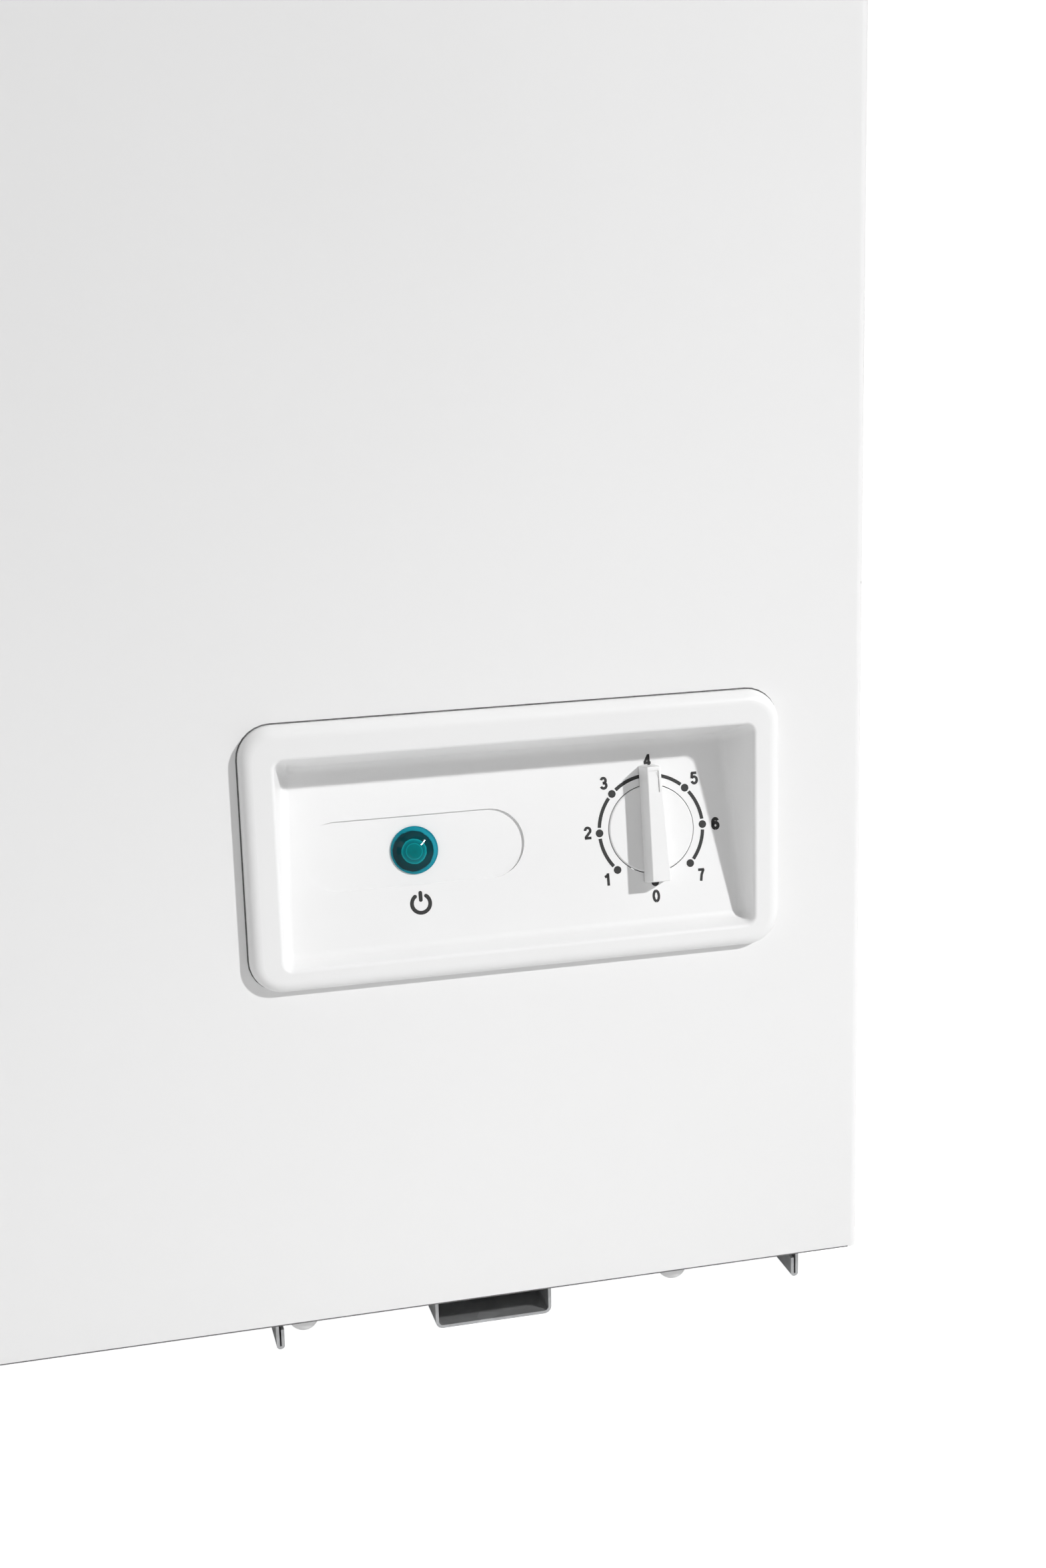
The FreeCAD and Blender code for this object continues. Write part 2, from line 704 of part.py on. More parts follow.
def make_drain():
    """Drain pipe from the storage floor to the front, with its two plugs."""
    down = rod("z", (DRAIN_X, DRAIN_Y, DRAIN_Z), 10, f"{FLOOR_Z} + skin - {DRAIN_Z}")
    out = rod("y", (DRAIN_X, FRONT, DRAIN_Z), 10, f"{DRAIN_Y} - {FRONT}")
    elbow = drain_elbow()
    collar = rod("z", (DRAIN_X, DRAIN_Y, f"{FLOOR_Z} + skin"), 15, 1.5)
    rosette = rod("y", (DRAIN_X, f"{FRONT} - 2", DRAIN_Z), 15, 2)
    bore_down = rod("z", (DRAIN_X, DRAIN_Y, f"{DRAIN_Z} - 2"), 7.5,
                    f"{FLOOR_Z} + skin - {DRAIN_Z} + 7")
    bore_out = rod("y", (DRAIN_X, f"{FRONT} - 3", DRAIN_Z), 7.5, f"{DRAIN_Y} - {FRONT} + 2")
    keep(cut(fused(down, out, elbow, collar, rosette), fused(bore_down, bore_out)),
         "drain_tube")
    plug = turned([(0, -16), (6.6, -16), (7.2, -12), (7.2, 0), (15, 0), (15, 2), (12, 3.5),
                   (5, 4), (4, 9), (7, 11), (7, 13), (0, 13)], "plug")
    placed(plug, "z", (DRAIN_X, DRAIN_Y, f"{FLOOR_Z} + skin + 1.5 + rest_gap"))
    keep(plug, "drain_plug")
    cap = turned([(0, -16), (6.6, -16), (7.2, -12), (7.2, 0), (14, 0), (14, 2), (12.5, 4),
                  (0, 5)], "cap")
    placed(cap, "-y", (DRAIN_X, f"{FRONT} - 2 - rest_gap", DRAIN_Z))
    keep(cap, "drain_cap")


# ---------------------------------------------------------------- grille and rear cover


def grille_hole():
    """Opening in the right-hand sheet for the air grille."""
    return block((f"{RIGHT} - 5", f"{RIGHT} + 1"), (f"{FRONT} + 92", f"{REAR} - 92"),
                 ("lift + 42", "bay_top - 62"))


def make_grille():
    """Slatted plastic air grille in the bay's right-hand side."""
    frame = block((f"{RIGHT}", f"{RIGHT} + 1.6"), (f"{FRONT} + 84", f"{REAR} - 84"),
                  ("lift + 34", "bay_top - 54"))
    collar = block((f"{RIGHT} - 6", RIGHT), (f"{FRONT} + 92.3", f"{REAR} - 92.3"),
                   ("lift + 42.3", "bay_top - 62.3"))
    slots = []
    count = 9
    pitch = (value("bay_top - 54 - lift - 34") - 22) / count
    for index in range(count):
        low = f"lift + 34 + 11 + {pitch * index} + {pitch * 0.22}"
        slots.append(block((f"{RIGHT} - 7", f"{RIGHT} + 3"),
                           (f"{FRONT} + 98", f"{REAR} - 98"),
                           (low, f"{low} + {pitch * 0.56}")))
    core = block((f"{RIGHT} - 7", f"{RIGHT} - 2"), (f"{FRONT} + 98", f"{REAR} - 98"),
                 ("lift + 48", "bay_top - 68"))
    keep(cut(fused(frame, collar), core, *slots), "side_grille")


def cover_spots():
    """Screws of the rear bay cover, at its outer face."""
    return [(f"{x}", f"{REAR} + 1", z) for x in (f"{BAY_X} + 7", f"{RIGHT} - 7")
            for z in ("lift + 24", "bay_top - 20")]


def make_rear_cover():
    """Louvred sheet over the bay's rear opening, with the supply gland."""
    plate = block((f"{BAY_X}", f"{RIGHT} - 1"), (REAR, f"{REAR} + 1"),
                  ("lift + 4", "bay_top - 2"))
    slots = []
    for index in range(8):
        z = f"lift + 60 + {index * 22}"
        slots.append(block((f"{BAY_X} + 34", f"{RIGHT} - 34"), (f"{REAR} - 1", f"{REAR} + 2"),
                           (z, f"{z} + 7")))
    gland_x = f"({BAY_X} + 40)"
    gland_z = "(lift + 34)"
    hole = rod("y", (gland_x, f"{REAR} - 2", gland_z), 8.05, 6)
    holes = drills("-y", cover_spots(), 2.05, 9)
    keep(cut(plate, *slots, hole, holes), "rear_bay_cover")
    gland = turned([(4, -6), (9.5, -6), (9.5, 0), (8, 0), (8, 1), (12, 1), (12, 3),
                    (8.5, 6), (6.5, 12), (4, 12)], "gland")
    placed(gland, "y", (gland_x, REAR, gland_z))
    keep(gland, "supply_gland")
    keep(group(*screws("-y", cover_spots(), 4, 1.8, 2, 5)), "cover_screws")


# ---------------------------------------------------------------- control panel


def control_hole():
    """Opening in the front sheet behind the bezel."""
    return block((f"{RIGHT} + lip_left - tub_wall - 0.4", f"{RIGHT} + lip_right + tub_wall + 0.4"),
                 (f"{FRONT} - 1", f"{FRONT} + 3"),
                 ("lift + lip_low - tub_wall - 0.4", "lift + lip_high + tub_wall + 0.4"))


def recess(grow, deep, name):
    """The hollow of the control panel: drafted walls in front of the leaning plate."""
    reach = f"(bezel_out + {deep} + 34)"
    item = doc.addObject("Part::Wedge", name)
    side = f"{reach}*tan(side_draft * 1 deg)"
    bind(item, "Xmin", f"{RIGHT} + lip_left - {grow}")
    bind(item, "Xmax", f"{RIGHT} + lip_right + {grow}")
    bind(item, "Ymin", f"{FRONT} - bezel_out")
    bind(item, "Ymax", f"{FRONT} - bezel_out + {reach}")
    bind(item, "Zmin", f"lift + lip_low - {grow}")
    bind(item, "Zmax", f"lift + lip_high + {grow}")
    bind(item, "X2min", f"{RIGHT} + lip_left - {grow} + {side}")
    bind(item, "X2max", f"{RIGHT} + lip_right + {grow} - {side}")
    bind(item, "Z2min", f"lift + lip_low - {grow} + {reach}*tan(sill_draft * 1 deg)")
    bind(item, "Z2max", f"lift + lip_high + {grow} - {reach}*tan(roof_draft * 1 deg)")
    slab = doc.addObject("Part::Box", "beyond")
    slab.Length = 300
    slab.Width = 300
    slab.Height = 80
    lay_on_plate(slab, "bezel_x - 150", "-150", f"-80 - {deep}")
    return cut(item, slab)


def lay_on_plate(item, across, up, out):
    """Put an object in the dial plate's frame: x across, y up the plate, z out of it."""
    item.Placement = Placement(Vector(), Rotation(Vector(1, 0, 0), 90 - value("tilt")))
    lean = "(tilt * 1 deg)"
    bind(item, "Placement.Base.x", f"{RIGHT} + {across}")
    bind(item, "Placement.Base.y",
         f"{FRONT} + plate_y + ({up})*sin{lean} - ({out})*cos{lean}")
    bind(item, "Placement.Base.z",
         f"lift + plate_z + ({up})*cos{lean} + ({out})*sin{lean}")
    return item


def box_on_plate(x, y, z):
    """A box in the dial plate's frame, between places across, up and out."""
    item = doc.addObject("Part::Box", "plate_box")
    for prop, (low, high) in zip(("Length", "Width", "Height"), (x, y, z)):
        bind(item, prop, f"({high}) - ({low})")
    return lay_on_plate(item, x[0], y[0], z[0])


def rod_on_plate(across, up, low, radius, length):
    """A cylinder that stands out of the dial plate."""
    item = doc.addObject("Part::Cylinder", "plate_rod")
    bind(item, "Radius", radius)
    bind(item, "Height", length)
    return lay_on_plate(item, across, up, low)


def soften(item, radius, test):
    """Round a finished solid's edges that a test picks by their middle."""
    doc.recompute()
    edges = [(index, value(radius), value(radius))
             for index, edge in enumerate(item.Shape.Edges, 1) if test(edge)]
    if not edges:
        raise RuntimeError("no edges to soften on " + item.Name)
    soft = doc.addObject("Part::Fillet", "soft")
    soft.Base = item
    soft.Edges = edges
    doc.recompute()
    return soft


def make_bezel():
    """Moulded frame with the leaning dial plate, pilot pocket and knob hole."""
    left = f"{RIGHT} + bezel_x - bezel_w/2"
    right = f"{RIGHT} + bezel_x + bezel_w/2"
    low = "lift + bezel_z - bezel_tall/2"
    high = "lift + bezel_z + bezel_tall/2"
    face = f"{FRONT} - bezel_out"

    def corner(middle, along):
        return abs(along.y) > 0.99

    def face_edge(middle, along):
        return near(middle.y, face)

    flange = pad("y", [(left, low), (right, low), (right, high), (left, high)],
                 face, f"{FRONT} - rest_gap",
                 [("bezel_corner", corner), ("bezel_edge", face_edge)], "flange")
    tub = recess("tub_wall", "tub_wall", "tub")
    mouth = block((left, right), (f"{FRONT} - 20", f"{FRONT} - 1"), (low, high))
    hollow = recess("0", "0", "hollow")
    deep = value(f"{FRONT} - bezel_out + 2")
    hollow = soften(hollow, "lip_round", lambda edge: edge.CenterOfMass.y > deep)
    hook = "tub_wall + 1.6"
    clips = [block((f"{RIGHT} + {start}", f"{RIGHT} + {stop}"),
                   (f"{FRONT} + skin", f"{FRONT} + skin + 5"),
                   ("lift + bezel_z - 12", "lift + bezel_z + 12"))
             for start, stop in ((f"lip_left - {hook}", "lip_left"),
                                 ("lip_right", f"lip_right + {hook}"))]
    pocket = fused(
        box_on_plate(("lens_u - pocket_len/2 + pocket_tall/2",
                      "lens_u + pocket_len/2 - pocket_tall/2"),
                     ("lens_v - pocket_tall/2", "lens_v + pocket_tall/2"),
                     ("-pocket_deep", "2")),
        *[rod_on_plate(f"lens_u + {sign}*(pocket_len/2 - pocket_tall/2)", "lens_v",
                       "-pocket_deep", "pocket_tall/2", "2 + pocket_deep")
          for sign in (-1, 1)])
    dial = rod_on_plate("dial_u", "dial_v", "-8", "disc_r + disc_gap", "16")
    lens = rod_on_plate("lens_u", "lens_v", "-8", "6.1", "16")
    posts = [rod_on_plate(f"dial_u + {x}", "dial_v", "-14", 3, "14 - tub_wall/2")
             for x in (-24, 24)]
    pilots = [rod_on_plate(f"dial_u + {x}", "dial_v", "-15", 1.25, 10) for x in (-24, 24)]
    solid = cut(fused(flange, cut(tub, mouth), *clips, *posts), hollow, pocket, dial, lens,
                *pilots)
    mouth_x = (value(f"{RIGHT} + lip_left - 1"), value(f"{RIGHT} + lip_right + 1"))
    mouth_z = (value("lift + lip_low - 1"), value("lift + lip_high + 1"))

    def lip(edge):
        middle = edge.CenterOfMass
        in_mouth = (mouth_x[0] < middle.x < mouth_x[1] and mouth_z[0] < middle.z < mouth_z[1])
        return in_mouth and near(middle.y, face)

    keep(soften(solid, "lip_edge", lip), "control_bezel")


def make_controls():
    """Pilot light, thermostat and knob on the dial plate."""
    lens = turned([(0, 4.6), (2.6, 4.4), (5, 3.6), (6.8, 2.4), (7.9, 1.3), (8.7, 0.6),
                   (8.7, 0), (6, 0), (6, -7), (5, -7), (5, 1), (3.4, 2.2), (0, 2.6)], "lens")
    lay_on_plate(lens, "lens_u", "lens_v", "-pocket_deep")
    keep(lens, "indicator_lens")
    lamp = turned([(0, -16), (4, -16), (4, -4), (3.4, -0.6), (0, 0.6)], "lamp")
    lay_on_plate(lamp, "lens_u", "lens_v", "-pocket_deep")
    keep(lamp, "indicator_lamp")
    holder = turned([(4.1, -22), (9, -22), (9, -7.4), (4.1, -7.4)], "holder")
    lay_on_plate(holder, "lens_u", "lens_v", "-pocket_deep")
    keep(holder, "lamp_holder")

    disc = turned([(0, 0.5), ("disc_r - 0.4", 0.5), ("disc_r", 0.1), ("disc_r", "-disc_t"),
                   (6.5, "-disc_t"), (6.5, -12), (0, -12)], "disc")
    lay_on_plate(disc, "dial_u", "dial_v", "0")
    bar = knob_bar()
    bore = rod_on_plate("dial_u", "dial_v", "-13", "shaft_r", "11")
    knob = cut(fused(disc, bar), bore)
    keep(knob, "thermostat_knob")
    shaft = turned([(0, -2.1), ("shaft_r", -2.1), ("shaft_r", -26), (0, -26)], "shaft")
    lay_on_plate(shaft, "dial_u", "dial_v", "0")
    keep(shaft, "thermostat_shaft")

    plate = box_on_plate(("dial_u - 30", "dial_u + 30"), ("dial_v - 14", "dial_v + 14"),
                         ("-15.2", "-14"))
    bracket_holes = [rod_on_plate(f"dial_u + {x}", "dial_v", "-16", 1.6, 4)
                     for x in (-24, 24)]
    keep(cut(plate, rod_on_plate("dial_u", "dial_v", "-16", "shaft_r + 4.1", 4),
             *bracket_holes), "thermostat_bracket")
    body = box_on_plate(("dial_u - 19", "dial_u + 19"), ("dial_v - 15", "dial_v + 15"),
                        ("-46", "-15.2"))
    stub = rod_on_plate("dial_u", "dial_v", "-16", "shaft_r + 4", 3.4)
    sleeve = rod_on_plate("dial_u", "dial_v", "-27", "shaft_r + pin_gap", 18)
    tabs = box_on_plate(("dial_u - 12", "dial_u + 12"), ("dial_v - 8", "dial_v + 8"),
                        ("-54", "-46"))
    keep(cut(fused(body, stub, tabs), sleeve), "thermostat_body")
    heads = []
    for x in (-24, 24):
        screw = turned([(0, 2), (2.2, 2), (3, 0.8), (3, 0), (1.2, 0), (1.2, -7), (0, -7)],
                       "screw")
        item = lay_on_plate(screw, f"dial_u + {x}", "dial_v", "-15.2")
        turn = Rotation(Vector(1, 0, 0), 90 - value("tilt"))
        item.Placement = Placement(item.Placement.Base, turn * Rotation(Vector(1, 0, 0), 180))
        heads.append(item)
    keep(group(*heads), "thermostat_screws")


def knob_bar():
    """Tapered bar grip across the knob, turned a little past upright."""
    length = 23.1
    tail = 19.2
    tip_half = 2.6
    tail_half = 3.6
    draft = 0.6
    edge_round = 0.5

    def section(height, grow):
        tip = tip_half + grow
        heel = tail_half + grow
        top = length + grow
        foot = -tail - grow
        return [Vector(-tip, top, height), Vector(tip, top, height),
                Vector(heel, foot, height), Vector(-heel, foot, height)]

    low = section(0.4, draft)
    high = section(value("grip_h"), 0)
    wires = [Part.makePolygon(points + points[:1]) for points in (low, high)]
    solid = Part.makeLoft(wires, True, True)
    upper = [edge for edge in solid.Edges if edge.CenterOfMass.z > 1]
    solid = solid.makeFillet(edge_round, upper)
    tile = Part.makeBox(3.4, 8, 0.5, Vector(-1.7, length - 9.4, value("grip_h") - 0.4))
    solid = solid.cut(tile)
    solid.rotate(Vector(), Vector(0, 0, 1), -value("knob_turn"))
    item = doc.addObject("Part::Feature", "bar")
    item.Shape = solid
    return lay_on_plate(item, "dial_u", "dial_v", "0")


# ---------------------------------------------------------------- refrigeration tubes


def lap_route(levels, right, inset):
    """Laps of a tube round front, left and rear, each back along the next level up."""
    left = value(f"{LEFT} + {inset}")
    front = value(f"{FRONT} + {inset}")
    rear = value(f"{REAR} - ({inset})")
    points = []
    for index, z in enumerate(levels):
        lap = [(right, front, z), (left, front, z), (left, rear, z), (right, rear, z)]
        points += lap if index % 2 == 0 else lap[::-1]
    return points


STUB_Z = "(bay_top - 14)"    # lower ends of the tubes that come out of the foam
PITCH = 62                   # between laps of the evaporator


def tube_places():
    """Where the four tubes of the circuit leave the foam."""
    stub_z = value(STUB_Z)
    warm_y = value(f"{FRONT} + 34")
    return {
        "cold_out": (value(f"{RIGHT} - 30"), value(f"{REAR} - wall + cold_r + tube_cover"),
                     stub_z),
        "cold_in": (value(f"{BAY_X} + 14"), value(f"{FRONT} + wall - cold_r - tube_cover"),
                    100),
        "warm_in": (value(f"{RIGHT} - 34"), warm_y, stub_z),
        "warm_out": (value(f"{RIGHT} - 16"), warm_y, stub_z)}


def make_circuit():
    """Evaporator round the liner and condenser behind the sheets."""
    ends = tube_places()
    inset = "wall - cold_r - tube_cover"
    well_right = value(f"{STEP_X} - 20")
    top_right = value(f"{RIGHT} - wall - 24")
    lower = [ends["cold_in"][2] + PITCH * index for index in range(4)]
    first = value(f"{STEP_Z} + 30")
    upper = [first + PITCH * index for index in range(1, 6)]
    well = lap_route(lower, well_right, inset)
    top = lap_route(upper, top_right, inset)
    front = well[0][1]
    rear = top[-1][1]
    out_x, out_y, out_z = ends["cold_out"]
    route = [ends["cold_in"]] + well[1:]
    route += [(well_right, front, first), (top_right, front, first)]
    route += top[:-1] + [(out_x, rear, upper[-1]), (out_x, out_y, out_z)]
    keep(bent(route, value("cold_r"), 20), "evaporator_coil")

    start = ends["warm_in"]
    stop = ends["warm_out"]
    levels = [value("bay_top + 34") + 66 * index for index in range(6)]
    laps = lap_route(levels, start[0], "skin + warm_r + tube_cover")
    front = laps[0][1]
    turn = levels[0] - 16
    route = [start, (start[0], start[1], levels[0])] + laps[:-1]
    route += [(stop[0], front, levels[-1]), (stop[0], front, turn),
              (stop[0], stop[1], turn), stop]
    keep(bent(route, value("warm_r"), 20), "condenser_coil")
    return [nodes["evaporator_coil"], nodes["condenser_coil"]]


def make_pipes():
    """Pipes in the bay: suction, discharge, condenser return, drier and capillary."""
    ends = tube_places()
    pot = nodes["compressor_shell"]
    pot_x = value(POT_X)
    pot_y = value(POT_Y)
    pot_r = value("pot_r")
    port_z = value("lift + 25 + 100")
    end_x, end_y, end_z = ends["cold_out"]
    side = pot_y + pot_r + 12
    suction = [(pot_x + 20, pot_y + pot_r * 0.93, port_z), (pot_x + 20, side + 10, port_z),
               (pot_x + 20, side + 10, port_z + 90), (end_x, side + 10, port_z + 90),
               (end_x, end_y, port_z + 90), (end_x, end_y, end_z - 0.1)]
    keep(cut(bent(suction, value("cold_r"), 12), pot), "suction_tube")

    end_x, end_y, end_z = ends["warm_in"]
    front = pot_y - pot_r - 34
    discharge = [(pot_x + 30, pot_y - pot_r * 0.88, port_z - 20), (pot_x + 30, front, port_z - 20),
                 (pot_x + 30, front, port_z + 96), (end_x, front, port_z + 96),
                 (end_x, end_y, port_z + 96), (end_x, end_y, end_z - 0.1)]
    keep(cut(bent(discharge, value("warm_r"), 12), pot), "discharge_tube")

    drier_x = value(f"{BAY_X} + 46")
    drier_y = value(f"{FRONT} + 150")
    drier_z = 180
    half = 52
    drier = turned([(0, -half), (2.6, -half), (3.2, -44), (9.5, -34), (9.5, 34), (3.2, 44),
                    (2.6, half), (0, half)], "drier")
    placed(drier, "z", (f"{BAY_X} + 46", f"{FRONT} + 150", drier_z))
    keep(drier, "filter_drier")
    end_x, end_y, end_z = ends["warm_out"]
    level = 254
    back = [(end_x, end_y, end_z - 0.1), (end_x, end_y, level), (end_x, drier_y, level),
            (drier_x, drier_y, level), (drier_x, drier_y, drier_z + half + 0.1)]
    keep(bent(back, value("warm_r"), 12), "return_tube")
    end_x, end_y, end_z = ends["cold_in"]
    low = drier_z - half
    capillary = [(drier_x, drier_y, low - 0.1), (drier_x, drier_y, low - 16),
                 (drier_x, drier_y - 60, low - 16), (drier_x, drier_y - 60, end_z),
                 (drier_x, end_y, end_z), (end_x + 0.1, end_y, end_z)]
    keep(bent(capillary, 1.2, 8), "capillary_tube")


# ---------------------------------------------------------------- lid

HINGE_SIDES = {"left": -1, "right": 1}


def hinge_places(sign):
    """Middle of a hinge."""
    return f"({sign}*hinge_x)"


def bracket_spots():
    """Screws of the lower hinge plates, at the plates' outer face."""
    return [(f"{hinge_places(sign)} + {x}", f"{REAR} + ear_t", z)
            for sign in (-1, 1) for x in (-16, 16)
            for z in ("cab_top - 60", "cab_top - 36")]


def leaf_spots():
    """Screws of the upper hinge leaves, at their outer face."""
    return [(f"{hinge_places(sign)} + {x}", f"{REAR} + rim_over + ear_t",
             f"{LID_LOW} + 34")
            for sign in (-1, 1) for x in (-12, 12)]


def make_hinges():
    """Two hinges: fixed plate, lid leaf, pin and counterbalance spring on each."""
    holes = drills("-y", bracket_spots(), 2.05, 8)
    leaf_holes = drills("-y", leaf_spots(), 2.05, 8)
    for side, sign in HINGE_SIDES.items():
        middle = hinge_places(sign)
        half = "hinge_w/2"
        plate = block((f"{middle} - {half}", f"{middle} + {half}"),
                      (REAR, f"{REAR} + ear_t"),
                      ("cab_top - 72", "cab_top - rim_skirt - 1"))
        ears = [lower_ear(f"{middle} - {half}"), lower_ear(f"{middle} + {half} - ear_t")]
        bore = rod("x", (f"{middle} - {half} - 1", HINGE_Y, HINGE_Z), "pin_r", "hinge_w + 2")
        bracket = cut(fused(plate, *ears), bore, holes)
        keep(bracket, f"hinge_bracket_{side}")
        inner = "(hinge_w/2 - ear_t - 0.5)"
        leaf = block((f"{middle} - {inner}", f"{middle} + {inner}"),
                     (f"{REAR} + rim_over", f"{REAR} + rim_over + ear_t"),
                     (f"{LID_LOW} + 10", f"{LID_LOW} + 46"))
        ears = [upper_ear(f"{middle} - {inner}"), upper_ear(f"{middle} + {inner} - ear_t")]
        bore = rod("x", (f"{middle} - {inner} - 1", HINGE_Y, HINGE_Z), "pin_r + pin_gap",
                   f"2*{inner} + 2")
        keep(cut(fused(leaf, *ears), bore, leaf_holes), f"hinge_leaf_{side}")
        pin = placed(turned([(0, -2), (4.5, -2), (4.5, 0), ("pin_r", 0),
                             ("pin_r", "hinge_w + 0.5"), (4.2, "hinge_w + 0.5"),
                             (3.4, "hinge_w + 2"), (0, "hinge_w + 2")], "pin"),
                     "x", (f"{middle} - {half}", HINGE_Y, HINGE_Z))
        keep(pin, f"hinge_pin_{side}")
        keep(spring_coil(middle), f"hinge_spring_{side}")
    keep(group(*screws("-y", bracket_spots(), 4, 1.8, 2, 12)), "bracket_screws")
    keep(group(*screws("-y", leaf_spots(), 4, 1.8, 2, 8)), "leaf_screws")


def lower_ear(x):
    """Ear of the fixed plate, from below the rim up to the hinge axis."""
    foot = "(cab_top - 60)"
    shoulder = "(cab_top - rim_skirt - 1)"
    web = [(REAR, foot), (f"{REAR} + ear_t + 1", foot), (f"{HINGE_Y} + ear*0.98", HINGE_Z),
           (f"{HINGE_Y} - ear*0.98", HINGE_Z), (f"{REAR} + rim_over + rest_gap", shoulder),
           (REAR, shoulder)]
    eye = rod("x", (x, HINGE_Y, HINGE_Z), "ear", "ear_t")
    return fused(eye, pad("x", web, x, f"{x} + ear_t", name="lower_ear"))


def upper_ear(x):
    """Ear of the lid leaf, from the leaf down to the hinge axis."""
    start = f"({REAR} + rim_over)"
    top = f"({LID_LOW} + 40)"
    web = [(start, f"{LID_LOW} + 10"), (f"{HINGE_Y} - ear*0.98", HINGE_Z),
           (f"{HINGE_Y} + ear*0.98", HINGE_Z), (f"{start} + ear_t + 1", top), (start, top)]
    eye = rod("x", (x, HINGE_Y, HINGE_Z), "ear", "ear_t")
    return fused(eye, pad("x", web, x, f"{x} + ear_t", name="upper_ear"))


def spring_coil(middle):
    """Torsion spring wound round the hinge pin."""
    turns = 9
    wire = 1
    pitch = 2.4
    radius = 4.6
    length = turns * pitch
    helix = Part.makeHelix(pitch, length, radius)
    section = Part.Wire(Part.makeCircle(wire, Vector(radius, 0, 0), Vector(0, 1, 0.08)))
    solid = Part.Wire(helix).makePipeShell([section], True, True)
    item = doc.addObject("Part::Feature", "spring")
    item.Shape = solid
    item.Placement = Placement(Vector(), TURNS["x"])
    for letter, text in zip("xyz", (f"{middle} - {length / 2}", HINGE_Y, HINGE_Z)):
        bind(item, f"Placement.Base.{letter}", text)
    return item


def lid_block(inset, low, high, corner, edge, name):
    """The lid's outer form, inset on all sides but the underside."""
    left = f"{LEFT} - lid_over + ({inset})"
    right = f"{RIGHT} + lid_over - ({inset})"
    front = f"{FRONT} - lid_nose + ({inset})"
    rear = f"{REAR} + rim_over - ({inset})"

    def top_edge(middle, along):
        return near(middle.z, high)

    return pad("z", [(left, front), (right, front), (right, rear), (left, rear)], low, high,
               [(corner, upright), (edge, top_edge)], name)


def make_lid():
    """Lid: pressed outer skin, foam, inner tray, gasket and front handle."""
    outer = lid_block("0", LID_LOW, "total_height", "lid_corner", "lid_edge", "lid_outside")
    inner = lid_block("lid_skin", f"{LID_LOW} + lid_skin", "total_height - lid_skin",
                      "lid_corner - lid_skin", "lid_edge - lid_skin", "lid_space")
    mouth = block((f"{LEFT} + lid_fold", f"{RIGHT} - lid_fold"),
                  (f"{FRONT} + lid_fold", f"{REAR} - lid_fold"),
                  (f"{LID_LOW} - 1", f"{LID_LOW} + 3"))
    leaf_holes = drills("-y", leaf_spots(), 2.05, 12)
    grip_holes = drills("y", grip_spots(), 2.05, 14)
    keep(cut(outer, inner, mouth, leaf_holes, grip_holes), "lid_skin")
    filling = lid_block("lid_skin", f"{LID_LOW} + lid_skin + tray_wall",
                        "total_height - lid_skin", "lid_corner - lid_skin",
                        "lid_edge - lid_skin", "lid_filling")
    tray_x = (f"{LEFT} + tray_in + tray_wall", f"{RIGHT} - tray_in - tray_wall")
    tray_y = (f"{FRONT} + tray_in + tray_wall", f"{REAR} - tray_in - tray_wall")
    plug = block(tray_x, tray_y, (f"{LID_LOW} - tray_drop + tray_wall", f"{LID_LOW} + 10"))
    keep(cut(fused(filling, plug), drills("-y", leaf_spots(), 2.05, 12),
             drills("y", grip_spots(), 2.05, 14)), "lid_foam")
    flat = all_rounded("2", (f"{LID_LOW} + lid_skin", f"{LID_LOW} + lid_skin + tray_wall"),
                       "lid_corner - 4")
    dish = block((f"{LEFT} + tray_in", f"{RIGHT} - tray_in"),
                 (f"{FRONT} + tray_in", f"{REAR} - tray_in"),
                 (f"{LID_LOW} - tray_drop", f"{LID_LOW} + lid_skin"))
    dish_space = block(tray_x, tray_y,
                       (f"{LID_LOW} - tray_drop + tray_wall", f"{LID_LOW} + 10"))
    keep(cut(fused(flat, dish), dish_space), "lid_liner")
    base = ring("lid_fold + 1", "rim_flat - 6", (f"{LID_LOW} - 2.4", f"{LID_LOW} + lid_skin"))
    bulb = ring("lid_fold + 4", "rim_flat - 12", ("cab_top + rest_gap", f"{LID_LOW} - 2.4"))
    keep(fused(base, bulb), "lid_gasket")
    make_grip()


def grip_spots():
    """Screws that hold the handle to the lid's front, seen inside the handle."""
    return [(x, f"{FRONT} - lid_nose - 3", f"{LID_LOW} + 26") for x in ("-80", "80")]


def make_grip():
    """Moulded handle on the lid's front, open below for the fingers."""
    low = f"{LID_LOW} + grip_low"
    high = f"{LID_LOW} + grip_low + grip_tall"
    face = f"{FRONT} - handle_out"
    back = f"{FRONT} - lid_nose"

    def corner(middle, along):
        return near(middle.y, face) or (abs(along.y) > 0.99 and near(middle.z, high))

    form = pad("z", [("-grip_w/2", face), ("grip_w/2", face), ("grip_w/2", back),
                     ("-grip_w/2", back)], low, high, [("6", corner)], "grip")
    scoop = block(("-grip_w/2 + grip_wall", "grip_w/2 - grip_wall"),
                  (f"{face} + grip_wall", f"{back} - 3"), (f"{low} - 1", f"{high} - grip_wall"))
    holes = drills("y", grip_spots(), 2.05, 8)
    keep(cut(form, scoop, holes), "lid_handle")
    keep(group(*screws("y", grip_spots(), 3.6, 1.8, 2, 13)), "handle_screws")


# ---------------------------------------------------------------- basket


